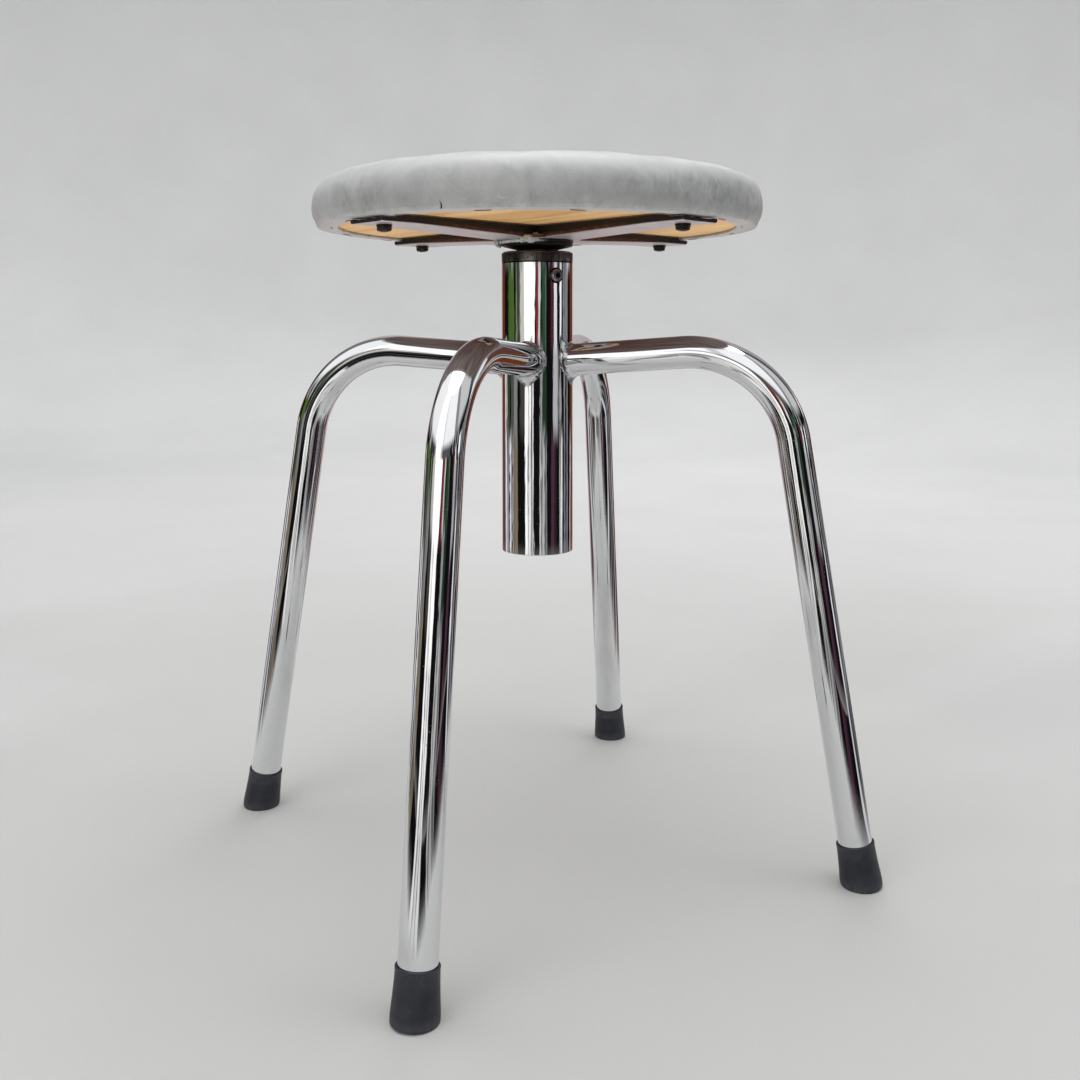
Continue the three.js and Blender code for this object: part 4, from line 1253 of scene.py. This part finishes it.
# ------------------------------------------------------------------ seat board
board = lathe(
    "plywood_disc",
    [(0, BOARD_Z0), (70, BOARD_Z0), (BOARD_R - 2.2, BOARD_Z0, 1.2), (BOARD_R - 0.2, BOARD_Z0 + 2.4, 1.2), (BOARD_R - 0.2, BOARD_Z1, 0.8), (70, BOARD_Z1), (0, BOARD_Z1)],
    192,
)
for a in ARM_TURNS:
    place = spin_z(a) @ Matrix.Translation((BOLT_R, 0, 0))
    boolean(board, lathe("hole", [(0, 440), (4.6, 440), (4.6, 456.4), (9.8, 456.4), (9.8, 462), (0, 462)], 40, matrix=place), "DIFFERENCE")
finish_mesh(board, 30)
wear(board, "plywood", "plywood", "seat", "seat_board")

# ------------------------------------------------------------------ seat pad and cover
# Outline of the outside of the cover, from the middle of its top to where it ends under the board.
OUTLINE = [
    (0, 484.6), (30, 484.55), (60, 484.35), (85, 483.8), (105, 483.0), (122, 481.7), (134, 480.2), (143, 478.5), (149.5, 476.0),
    (153.8, 472.4), (156.2, 467.6), (157.3, 461.5), (157.5, 455.5), (156.9, 450.6), (155.2, 446.6), (152.0, 444.3), (147.5, 443.85), (139.6, 443.85),
]


def outline_at(inset, ease_to=None):
    """The outline moved inwards by inset."""
    pts = [Vector(p) for p in OUTLINE]
    out = []
    for i, p in enumerate(pts):
        a = pts[max(0, i - 1)]
        b = pts[min(len(pts) - 1, i + 1)]
        t = (b - a).normalized()
        nrm = Vector((t.y, -t.x))  # towards the inside
        q = p + nrm * inset
        if i == 0:
            q.x = 0.0
        out.append((max(q.x, 0.0), q.y))
    return out


def cover_start(inset):
    """Closed pad: the outline made smaller, with a plain floor."""
    prof = outline_at(inset)
    prof = [p for p in prof]
    low = prof[-1][1]
    prof += [(100, low), (50, low), (0, low)]
    v, f = lathe_arrays(prof, 96)
    return v, f


def simulate_cover():
    """Cloth run on a remeshed copy: inside pressure against the staples and the board's edge."""
    v, f = cover_start(1.1)
    ob = make("cover_sim", v, f, 180)
    mod = ob.modifiers.new("remesh", "REMESH")
    mod.mode, mod.voxel_size, mod.adaptivity = "VOXEL", 4.6 * S, 0
    dg = bpy.context.evaluated_depsgraph_get()
    me = bpy.data.meshes.new_from_object(ob.evaluated_get(dg))
    ob.modifiers.clear()
    ob.data = me
    count = len(me.vertices)
    rest = np.zeros(count * 3)
    me.vertices.foreach_get("co", rest)
    rest = rest.reshape(-1, 3)
    r = np.hypot(rest[:, 0], rest[:, 1])
    z = rest[:, 2]
    pin = ob.vertex_groups.new(name="pin")
    ang = np.arctan2(rest[:, 1], rest[:, 0])
    first = rad(ARM_AZ) + PI / 16 - PI / 2
    off = (ang - first) % (2 * PI / 16)
    off = np.minimum(off, 2 * PI / 16 - off) * r
    under = z < (FOLD_Z + 2.2) * S
    stapled = under & (off < 0.0065) & (r < 0.1505)
    inner = under & (r < 0.141)
    for i in np.nonzero(inner | stapled)[0]:
        pin.add([int(i)], 1.0, "REPLACE")
    soft = under & ~(inner | stapled) & (r < 0.153)
    for i in np.nonzero(soft)[0]:
        pin.add([int(i)], 0.35, "REPLACE")
    cloth = ob.modifiers.new("cloth", "CLOTH")
    cs = cloth.settings
    cs.quality = 6
    cs.mass = 0.35
    cs.tension_stiffness = cs.compression_stiffness = 22
    cs.shear_stiffness = 8
    cs.bending_stiffness = 1.6
    cs.use_pressure = True
    cs.uniform_pressure_force = 4.0
    cs.vertex_group_mass = "pin"
    cs.effector_weights.gravity = 0
    cs.time_scale = 0.8
    cloth.collision_settings.use_collision = False
    cloth.point_cache.frame_start, cloth.point_cache.frame_end = 1, 20
    for fr in range(1, 21):
        SC.frame_set(fr)
    dg = bpy.context.evaluated_depsgraph_get()
    ev = ob.evaluated_get(dg).to_mesh()
    moved = np.zeros(count * 3)
    ev.vertices.foreach_get("co", moved)
    moved = moved.reshape(-1, 3)
    ob.evaluated_get(dg).to_mesh_clear()
    ob.modifiers.clear()
    SC.frame_set(1)
    d = moved - rest
    # the weave evens out what is finer than a few threads
    pairs = np.array([e.vertices[:] for e in me.edges])
    for _ in range(6):
        total = np.zeros_like(d)
        times = np.zeros(count)
        np.add.at(total, pairs[:, 0], d[pairs[:, 1]])
        np.add.at(total, pairs[:, 1], d[pairs[:, 0]])
        np.add.at(times, pairs[:, 0], 1)
        np.add.at(times, pairs[:, 1], 1)
        d = 0.4 * d + 0.6 * total / np.maximum(times, 1)[:, None]
    ln = np.linalg.norm(d, axis=1)
    cap = np.where(under, 0.0016, 0.005)
    d *= np.minimum(1.0, cap / np.maximum(ln, 1e-9))[:, None]
    d *= np.where(under, 0.8, 0.4)[:, None]
    return ob, rest, d


def profile_distance(r, z):
    """Signed distance (mm) of points to the outline, + outside, and the nearest outline normal."""
    line = np.array(rounded([(p[0], p[1]) for p in OUTLINE]), float)
    best = np.full(len(r), 1e9)
    nr, nz = np.zeros(len(r)), np.zeros(len(r))
    for (x0, y0), (x1, y1) in zip(line, line[1:]):
        dx, dy = x1 - x0, y1 - y0
        L2 = dx * dx + dy * dy
        t = np.clip(((r - x0) * dx + (z - y0) * dy) / L2, 0, 1)
        px, py = x0 + t * dx, y0 + t * dy
        dist = np.hypot(r - px, z - py)
        L = math.sqrt(L2)
        sx, sy = -dy / L, dx / L  # outward
        sign = np.sign((r - px) * sx + (z - py) * sy)
        hit = dist < np.abs(best)
        best = np.where(hit, dist * np.where(sign == 0, 1, sign), best)
        nr, nz = np.where(hit, sx, nr), np.where(hit, sy, nz)
    return best, nr, nz


def build_cover():
    ob, rest, d = simulate_cover()
    co = rest + d
    # The run's own swell differs from the outline by a smooth amount: take that out and keep its relief.
    r = np.hypot(co[:, 0], co[:, 1]) / S
    z = co[:, 2] / S
    ang = np.arctan2(co[:, 1], co[:, 0])
    dist, nr, nz = profile_distance(r, z)
    above = z > 446
    strip = ~above & (r > 138.5)
    # mean swell by place along the profile
    key = np.where(z > 478, r, 160 + (480 - z))
    order = np.argsort(key)
    bins = np.linspace(key.min(), key.max(), 60)
    idx = np.digitize(key, bins)
    mean = np.zeros(len(bins) + 2)
    for b in range(len(mean)):
        sel = (idx == b) & above
        if sel.any():
            mean[b] = np.median(dist[sel])
    mean = np.convolve(np.pad(mean, 2, mode="edge"), np.ones(5) / 5, mode="valid")
    corr = mean[idx]
    rr = np.where(above, r - nr * corr, r)
    zz = np.where(above, z - nz * corr, z)
    # the strip under the board keeps only its own sag
    if strip.any():
        sag = float(np.median(dist[strip & (r < 150)]))
        blend = np.clip((z - 443.0) / 3.0, 0, 1)
        shift = sag * (1 - blend) + blend * mean[idx]
        rr = np.where(strip, r - nr * shift, rr)
        zz = np.where(strip, z - nz * shift, zz)
    co = np.stack([np.cos(ang) * rr, np.sin(ang) * rr, zz], 1) * S
    ob.data.vertices.foreach_set("co", co.astype(np.float32).ravel())
    ob.data.update()
    # one subdivision
    sub = ob.modifiers.new("sub", "SUBSURF")
    sub.levels = sub.render_levels = 1
    dg = bpy.context.evaluated_depsgraph_get()
    me = bpy.data.meshes.new_from_object(ob.evaluated_get(dg))
    ob.modifiers.clear()
    ob.data = me
    # relief that a hand-covered seat has: broad unevenness, slack dimples, pleats at the fold
    n = len(me.vertices)
    co = np.zeros(n * 3)
    me.vertices.foreach_get("co", co)
    co = co.reshape(-1, 3) / S
    out = co.copy()
    for i in range(n):
        x, y, z = co[i]
        r = math.hypot(x, y)
        a = math.atan2(y, x)
        c, s = math.cos(a), math.sin(a)
        if z > 447:
            up = min(1.0, max(0.0, (z - 470) / 12))
            side = 1 - up
            w = 0.55 * n3(x / 60, y / 60, 3.1) + 0.30 * n3(x / 24, y / 24, z / 30 + 7)
            # faint pulls that run up the side from each gather
            pull = 0.22 * n3(c * 17, s * 17, 2.0) * min(1.0, max(0.0, (468 - z) / 20))
            dn = w * (0.12 + 0.14 * up) + pull * 0.35
            out[i, 2] += dn * up
            out[i, 0] += c * dn * 0.5 * side
            out[i, 1] += s * dn * 0.5 * side
        elif r > 120:
            # pleats in the turned-under strip, deepest at its cut edge
            t = min(1.0, max(0.0, (156.5 - r) / 15))
            k = 34
            ph = k * a + 2.2 * n3(c * 2.1, s * 2.1, 5.0)
            pleat = max(0.0, math.sin(ph)) ** 3 * (0.55 + 0.45 * n3(c * 6, s * 6, 9.0))
            out[i, 2] -= 0.62 * t * pleat - 0.12 * t
            out[i, 2] += 0.25 * t * n3(c * 24, s * 24, r / 9)
            out[i, 2] = min(out[i, 2], 444.6)
    me.vertices.foreach_set("co", (out * S).astype(np.float32).ravel())
    # open the underside inside the turned-under strip
    bm = bmesh.new()
    bm.from_mesh(me)
    kill = []
    for fc in bm.faces:
        c = fc.calc_center_median() / S
        if c.z < 447 and math.hypot(c.x, c.y) < FOLD_R + 0.6:
            kill.append(fc)
    bmesh.ops.delete(bm, geom=kill, context="FACES")
    # draw the cut edge to its line, a little ragged as shears leave it
    bm.verts.ensure_lookup_table()
    edge = {v for e in bm.edges if e.is_boundary for v in e.verts}
    for v in edge:
        p = v.co / S
        a = math.atan2(p.y, p.x)
        rr = FOLD_R + 0.45 * n3(math.cos(a) * 9, math.sin(a) * 9, 0.4) + 0.25 * n3(math.cos(a) * 40, math.sin(a) * 40, 2)
        v.co.x, v.co.y = rr * math.cos(a) * S, rr * math.sin(a) * S
    bmesh.ops.smooth_vert(bm, verts=[v for v in bm.verts if v not in edge and v.co.z < 0.4452 and math.hypot(v.co.x, v.co.y) < 0.1435], factor=0.4, use_axis_x=True, use_axis_y=True, use_axis_z=True)
    bmesh.ops.recalc_face_normals(bm, faces=bm.faces)
    # normals point out: away from the pad's middle
    out_ = sum((fc.normal.z for fc in bm.faces if fc.calc_center_median().z > 0.48))
    if out_ < 0:
        bmesh.ops.reverse_faces(bm, faces=bm.faces)
    bm.to_mesh(me)
    bm.free()
    sol = ob.modifiers.new("thick", "SOLIDIFY")
    sol.thickness = 1.7 * S
    sol.offset = -1.0
    sol.use_even_offset = True
    sol.use_rim = True
    dg = bpy.context.evaluated_depsgraph_get()
    me2 = bpy.data.meshes.new_from_object(ob.evaluated_get(dg))
    ob.modifiers.clear()
    ob.data = me2
    ob.name = "upholstered_cover"
    me2.shade_smooth()
    me2.set_sharp_from_angle(angle=rad(70))
    return ob


cover = build_cover()
wear(cover, "fabric", "seat_fabric", "seat", "seat_cover")

# the pad under the cover, a shade smaller all round
pad_line = [p for p in outline_at(4.2) if p[1] > 461.5]
pad = lathe("foam_cushion", pad_line + [(152.2, 459.4, 0.8), (149, 458.5), (80, 458.5), (0, 458.5)], 128, sharp=50)
wear(pad, "foam", "foam", "seat", "foam_pad")

# ------------------------------------------------------------------ staples
rng = np.random.default_rng(5)
for i in range(16):
    a = rad(ARM_AZ) + PI / 16 + i * PI / 8
    lean = float(rng.normal(0, 0.10))
    dr = float(rng.normal(0, 0.5))
    path = []
    w, h = 5.2, 0.9
    path.append((-w, 1.6))
    for k in range(5):
        b = PI - PI / 2 * k / 4
        path.append((-w + h + h * math.cos(b), -h + h * 0 + h * (1 - math.sin(b)) + 0.0))
    pts = [(-w, 0, 1.7), (-w, 0, 0.75), (-w + 0.12, 0, 0.35), (-w + 0.38, 0, 0.10), (-w + 0.8, 0, 0.0), (0, 0, -0.04), (w - 0.8, 0, 0.0), (w - 0.38, 0, 0.10), (w - 0.12, 0, 0.35), (w, 0, 0.75), (w, 0, 1.7)]
    verts, faces = [], []
    segs = 10
    for q, p in enumerate(pts):
        p = Vector(p)
        t = (Vector(pts[min(q + 1, len(pts) - 1)]) - Vector(pts[max(q - 1, 0)])).normalized()
        side = Vector((0, 1, 0))
        up = t.cross(side).normalized()
        for j in range(segs):
            b = 2 * PI * j / segs
            verts.append(tuple(p + side * (0.55 * math.cos(b)) + up * (0.27 * math.sin(b))))
    for q in range(len(pts) - 1):
        for j in range(segs):
            k = (j + 1) % segs
            faces.append([q * segs + j, q * segs + k, (q + 1) * segs + k, (q + 1) * segs + j])
    faces.append(list(range(segs)))
    faces.append([(len(pts) - 1) * segs + j for j in reversed(range(segs))])
    m = spin_z(a) @ Matrix.Translation((0, -(FOLD_R + 4.5 + dr), 443.82)) @ spin_z(lean)
    verts = [tuple(m @ Vector(v)) for v in verts]
    wear(make(f"staple_wire_{i + 1:02d}", verts, faces, 50), "staple", "zinc_steel", "seat", f"staple_{i + 1:02d}")

# ------------------------------------------------------------------ studio
def floor_material():
    """Pale matt floor; the far sweep is painted lighter so that it stays even as the light falls off."""
    m = Mat("pale_floor", (0.5, 0.5, 0.5), 0.9, 0.0)
    c = m.coords()
    x, y, z = m.axes(c)
    r = m.math("SQRT", m.math("ADD", m.math("MULTIPLY", x, x), m.math("MULTIPLY", y, y)))
    mottle = m.noise(c, 3.0, 4.0)
    near = m.ramp(mottle, (0.35, (0.385, 0.385, 0.380)), (0.65, (0.400, 0.400, 0.395)))
    far = m.ramp(mottle, (0.35, (0.70, 0.70, 0.695)), (0.65, (0.73, 0.73, 0.725)))
    m.set("Base Color", m.mix(m.span(r, 0.5, 3.2), near, far))
    m.set("Normal", m.bump(m.noise(c, 400, 3.0), 0.05, 0.0003))
    return m.m


def studio():
    # a round cove: floor that sweeps up to a wall on every side
    prof = [(0, 0), (500, 0), (1500, 0), (2600, 0)]
    for k in range(1, 17):
        a = PI / 2 * k / 16
        prof.append((2600 + 1400 * math.sin(a), 1400 * (1 - math.cos(a))))
    prof.append((4000, 4200))
    v, f = lathe_arrays([(r, z - 0.05) for r, z in prof], 128)
    cove = make("studio_floor", v, f, 180)
    cove.data.materials.append(floor_material())

    # reflection cards: a ring of dark and bright panels that only gloss sees
    centre = ROUND - PI / 2  # direction of the camera
    # (from, to) degrees round from the camera, + to its right; colour
    dark, brown, pale = (0.006, 0.006, 0.007), (0.150, 0.038, 0.014), (0.50, 0.43, 0.43)
    mauve = (0.115, 0.050, 0.050)
    upper = [
        (-180, -153, pale), (-153, -128, brown), (-128, -106, dark), (-106, -79, (0.075, 0.150, 0.030)), (-79, -70, dark),
        (-70, -66, (0.26, 0.29, 0.22)), (-66, -57, (0.060, 0.075, 0.045)), (-57, -43, (0.66, 0.63, 0.58)), (-43, -8, (1.50, 1.49, 1.48)), (-8, -3, (0.050, 0.006, 0.010)),
        (-3, 4.5, (0.26, 0.040, 0.036)), (4.5, 10, (0.80, 0.77, 0.80)), (10, 16, (0.010, 0.030, 0.014)), (16, 24, (0.030, 0.085, 0.040)),
        (24, 28, (0.16, 0.19, 0.15)), (28, 43, dark), (43, 52, (0.095, 0.020, 0.032)), (52, 55, dark), (55, 63, (0.90, 0.88, 0.90)), (63, 76, dark),
        (76, 84, (1.15, 1.15, 1.15)), (84, 89, dark), (89, 93, (0.40, 0.40, 0.41)), (93, 96, dark), (96, 114, (0.25, 0.235, 0.265)), (114, 128, dark), (128, 153, brown), (153, 180, pale),
    ]
    middle = [
        (-180, -153, pale), (-153, -128, brown), (-128, -118, (0.75, 0.73, 0.74)), (-118, -100, (0.045, 0.055, 0.038)), (-100, -96, dark),
        (-96, -82, (0.085, 0.100, 0.070)), (-82, -66, (0.26, 0.26, 0.27)), (-66, -58, dark), (-58, -40, (0.065, 0.060, 0.055)), (-40, -30, (1.20, 1.19, 1.15)),
        (-30, -27, (0.40, 0.40, 0.38)), (-27, -12, (1.30, 1.30, 1.26)), (-12, 9, dark), (9, 16, (0.34, 0.34, 0.34)), (16, 29, (0.020, 0.045, 0.026)), (29, 52, dark),
        (52, 66, (0.50, 0.50, 0.51)), (66, 71, (0.20, 0.20, 0.21)), (71, 77, dark), (77, 82, (0.42, 0.42, 0.43)), (82, 95, dark), (95, 101, (0.28, 0.28, 0.29)), (101, 108, dark),
        (108, 115, (0.25, 0.25, 0.26)), (115, 128, dark), (128, 153, brown), (153, 180, pale),
    ]
    lower = [
        (-180, -153, pale), (-153, -128, mauve), (-128, -120, (0.50, 0.48, 0.50)), (-120, -113, (0.95, 0.94, 0.96)), (-113, -104, (0.28, 0.30, 0.34)), (-104, -100, dark),
        (-100, -93, (0.85, 0.85, 0.86)), (-93, -88, dark), (-88, -84, (0.45, 0.45, 0.45)), (-84, -80, (0.10, 0.08, 0.06)), (-80, -66, (0.24, 0.19, 0.13)), (-66, -40, dark),
        (-40, -32, (1.25, 1.24, 1.20)), (-32, -29, (0.30, 0.30, 0.30)), (-29, -22, (1.00, 0.98, 0.96)), (-22, -19, (0.35, 0.34, 0.34)), (-19, -12, (1.10, 1.08, 1.05)),
        (-12, 8, dark), (8, 12, (0.70, 0.68, 0.66)), (12, 16, (0.18, 0.18, 0.18)), (16, 23, (0.55, 0.54, 0.53)), (23, 27, (0.12, 0.12, 0.12)), (27, 30, (0.35, 0.36, 0.35)),
        (30, 44, dark), (44, 56, (0.085, 0.030, 0.052)), (56, 62, (0.030, 0.015, 0.022)), (62, 78, dark), (78, 85, (0.95, 0.95, 0.96)), (85, 90, (0.30, 0.30, 0.32)), (90, 97, dark),
        (97, 103, (0.22, 0.22, 0.24)), (103, 108, dark), (108, 115, (0.28, 0.28, 0.30)), (115, 127, dark), (127, 134, (0.60, 0.57, 0.58)), (134, 153, brown), (153, 180, pale),
    ]
    high = [
        (-180, -153, pale), (-153, -140, mauve), (-140, -126, dark), (-126, -104, (0.30, 0.30, 0.31)), (-104, -96, dark), (-96, -84, (0.45, 0.45, 0.46)), (-84, -58, (0.045, 0.045, 0.048)),
        (-58, -48, (0.22, 0.22, 0.22)), (-48, -22, (1.35, 1.35, 1.33)), (-22, -14, (0.55, 0.55, 0.55)), (-14, 22, (0.10, 0.10, 0.105)), (22, 36, dark), (36, 40, (0.38, 0.38, 0.38)), (40, 50, dark), (50, 54, (0.42, 0.42, 0.42)),
        (54, 64, (0.035, 0.035, 0.038)), (64, 70, (0.30, 0.30, 0.30)), (70, 108, dark), (108, 128, (0.95, 0.95, 0.95)), (128, 153, mauve), (153, 180, pale),
    ]
    sky = [
        (-180, -150, pale), (-150, -118, (0.20, 0.19, 0.20)), (-118, -58, (1.05, 1.05, 1.06)), (-58, -14, (1.35, 1.35, 1.35)), (-14, -8, (0.75, 0.75, 0.76)),
        (-8, 44, (1.10, 1.10, 1.10)), (44, 58, (0.30, 0.29, 0.30)), (58, 96, (0.65, 0.65, 0.66)), (96, 120, (0.10, 0.10, 0.11)), (120, 153, (0.40, 0.38, 0.39)), (153, 180, pale),
    ]

    def table(panels):
        """Colours every half degree, edges softened a little."""
        out = []
        for i in range(720):
            total = [0.0, 0.0, 0.0]
            for k in (-1, 0, 1):
                p = (-180 + i * 0.5 + k * 0.4 + 180) % 360 - 180
                c = next(c for a, b, c in panels if a <= p <= b)
                total = [t + q / 3 for t, q in zip(total, c)]
            out.append(total)
        return np.array(out)

    # (height where the band ends, how softly, colours)
    bands = [(212, 18, table(lower)), (346, 10, table(middle)), (480, 20, table(upper)), (640, 60, table(high)), (1e9, 1, table(sky))]

    def glow(psi, h):
        shake = 2.3 * n3(psi / 2.2, h / 15, 1.0) + 1.3 * n3(psi / 0.7, h / 34, 4.0)
        edge = h + 14 * n3(psi / 5, 3.3, h / 200)
        i = (psi + shake + 180) % 360 * 2
        lo, f = int(i) % 720, i - int(i)
        col = None
        for top, soft, t in bands:
            c = t[lo] * (1 - f) + t[(lo + 1) % 720] * f
            if col is None:
                col = c
            else:
                w = min(1.0, max(0.0, (edge - last + soft_last) / (2 * soft_last)))
                col = col * (1 - w) + c * w
            if edge < top - soft:
                break
            last, soft_last = top, soft
        if h < 42:
            w = 0.55 * (1 - h / 42)
            col = col * (1 - w) + np.array((0.40, 0.39, 0.39)) * w
        return tuple(col)

    verts, faces, cols = [], [], []
    R = 980
    segs = 720
    heights = [1] + list(range(8, 350, 7)) + list(range(352, 540, 12)) + [560, 585, 610, 630, 650, 670, 700, 900, 2300]
    for h in heights:
        for i in range(segs + 1):
            psi = -180 + 360 * i / segs
            a = centre + rad(psi)
            verts.append((R * math.cos(a), R * math.sin(a), h))
            cols.append((*glow(psi, h), 1.0))
    # the darker floor past the lit patch
    floor_from = len(verts)
    reach = [0.0, 0.30, 0.62, 1.0]
    for k, f in enumerate(reach + [2.0]):
        for i in range(segs + 1):
            psi = -180 + 360 * i / segs
            a = centre + rad(psi)
            near = 400 - 115 * min(1.0, max(0.0, (psi - 22) / 26)) * min(1.0, max(0.0, (150 - psi) / 26))
            r = near + 240 * f if f <= 1.0 else R
            c = glow(psi, 60 + 20 * k)
            verts.append((r * math.cos(a), r * math.sin(a), 1.5))
            cols.append((*(0.75 * q for q in c), (0.0, 0.55, 0.9, 1.0, 1.0)[k]))
    rows = len(heights)
    for first, count in ((0, rows), (floor_from, 5)):
        for k in range(count - 1):
            for i in range(segs):
                p = first + k * (segs + 1) + i
                faces.append([p, p + 1, p + segs + 2, p + segs + 1])
    # a dull brown glowing card under the seat, seen only in gloss and only from below: a painted reflection of the
    # shaded underside of the seat
    ring_from = len(verts)
    radii = [40, 56, 72, 88, 104, 118, 130, 142, 150, 155, 160]
    for r in radii:
        for i in range(97):
            a = 2 * PI * i / 96
            verts.append((r * math.cos(a), r * math.sin(a), 434.3))
            w = (r - 40) / 112
            t = 0.8 + 0.5 * n3(math.cos(a) * 7, math.sin(a) * 7, r / 40)
            cols.append(((0.100 + 0.100 * w) * t, (0.052 + 0.110 * w) * t, (0.040 + 0.115 * w) * t, min(1.0, (160 - r) / 9)))
    for k in range(len(radii) - 1):
        for i in range(96):
            p = ring_from + k * 97 + i
            faces.append([p, p + 97, p + 98, p + 1][::-1])
    me = bpy.data.meshes.new("cards")
    me.from_pydata([tuple(c * S for c in p) for p in verts], [], faces)
    at = me.attributes.new("glow", "FLOAT_COLOR", "POINT")
    at.data.foreach_set("color", np.array(cols, np.float32).ravel())
    cards = link("studio_cards", me)
    mat = bpy.data.materials.new("cards")
    mat.use_nodes = True
    t = mat.node_tree
    t.nodes.clear()
    o = t.nodes.new("ShaderNodeOutputMaterial")
    e = t.nodes.new("ShaderNodeEmission")
    a = t.nodes.new("ShaderNodeAttribute")
    a.attribute_name = "glow"
    clear = t.nodes.new("ShaderNodeBsdfTransparent")
    blend = t.nodes.new("ShaderNodeMixShader")
    t.links.new(a.outputs["Color"], e.inputs["Color"])
    # open from above, so that the flag under the seat leaves the parts over it alone
    geo = t.nodes.new("ShaderNodeNewGeometry")

    def step(vector, limit):
        part = t.nodes.new("ShaderNodeSeparateXYZ")
        over = t.nodes.new("ShaderNodeMath")
        over.operation, over.inputs[1].default_value = "GREATER_THAN", limit
        t.links.new(vector, part.inputs[0])
        t.links.new(part.outputs[2], over.inputs[0])
        return over.outputs[0]

    both = t.nodes.new("ShaderNodeMath")
    both.operation = "MULTIPLY"
    t.links.new(step(geo.outputs["Normal"], 0.3), both.inputs[0])
    t.links.new(step(geo.outputs["Position"], 0.3), both.inputs[1])
    side = t.nodes.new("ShaderNodeMath")
    side.operation = "SUBTRACT"
    side.use_clamp = True
    t.links.new(a.outputs["Alpha"], side.inputs[0])
    t.links.new(both.outputs[0], side.inputs[1])
    t.links.new(side.outputs[0], blend.inputs[0])
    t.links.new(clear.outputs[0], blend.inputs[1])
    t.links.new(e.outputs[0], blend.inputs[2])
    t.links.new(blend.outputs[0], o.inputs[0])
    me.materials.append(mat)
    cards.visible_camera = cards.visible_diffuse = cards.visible_shadow = False
    cards.visible_transmission = cards.visible_volume_scatter = False
    cards.visible_glossy = True

    def area(name, loc, aim, size, power, col=(1, 1, 1), glossy=False):
        d = bpy.data.lights.new(name, "AREA")
        d.shape = "RECTANGLE"
        d.size, d.size_y = size
        d.energy = power
        d.color = col
        o = bpy.data.objects.new(name, d)
        SC.collection.objects.link(o)
        o.location = loc
        o.rotation_mode = "QUATERNION"
        o.rotation_quaternion = (Vector(aim) - Vector(loc)).to_track_quat("-Z", "Y")
        o.visible_camera = False
        o.visible_glossy = glossy
        return o

    def at(psi, dist, z):
        a = centre + rad(psi)
        return (dist * math.cos(a), dist * math.sin(a), z)

    area("top_softbox", (0.1, 0.1, 2.6), (0, 0, 0.3), (3.2, 3.2), 96, glossy=True)
    area("key_window", at(-42, 2.3, 1.5), (0, 0, 0.35), (1.4, 1.8), 19, (1.0, 0.99, 0.97))
    area("fill_window", at(75, 2.4, 1.2), (0, 0, 0.3), (1.4, 1.8), 9, (0.97, 0.98, 1.0))
    area("floor_bounce", (0, 0, 0.02), (0, 0, 0.5), (0.9, 0.9), 2.6, (1.0, 0.98, 0.95))
    area("back_window", at(170, 2.6, 1.8), (0, 0, 0.3), (1.8, 1.8), 14)
    w = bpy.data.worlds.new("world")
    SC.world = w
    w.use_nodes = True
    bg = w.node_tree.nodes.get("Background")
    bg.inputs[0].default_value = (0.93, 0.95, 1.0, 1)
    bg.inputs[1].default_value = 0.42


studio()
SC.view_settings.view_transform = "Standard"
SC.view_settings.look = "None"
SC.view_settings.exposure = 0.0
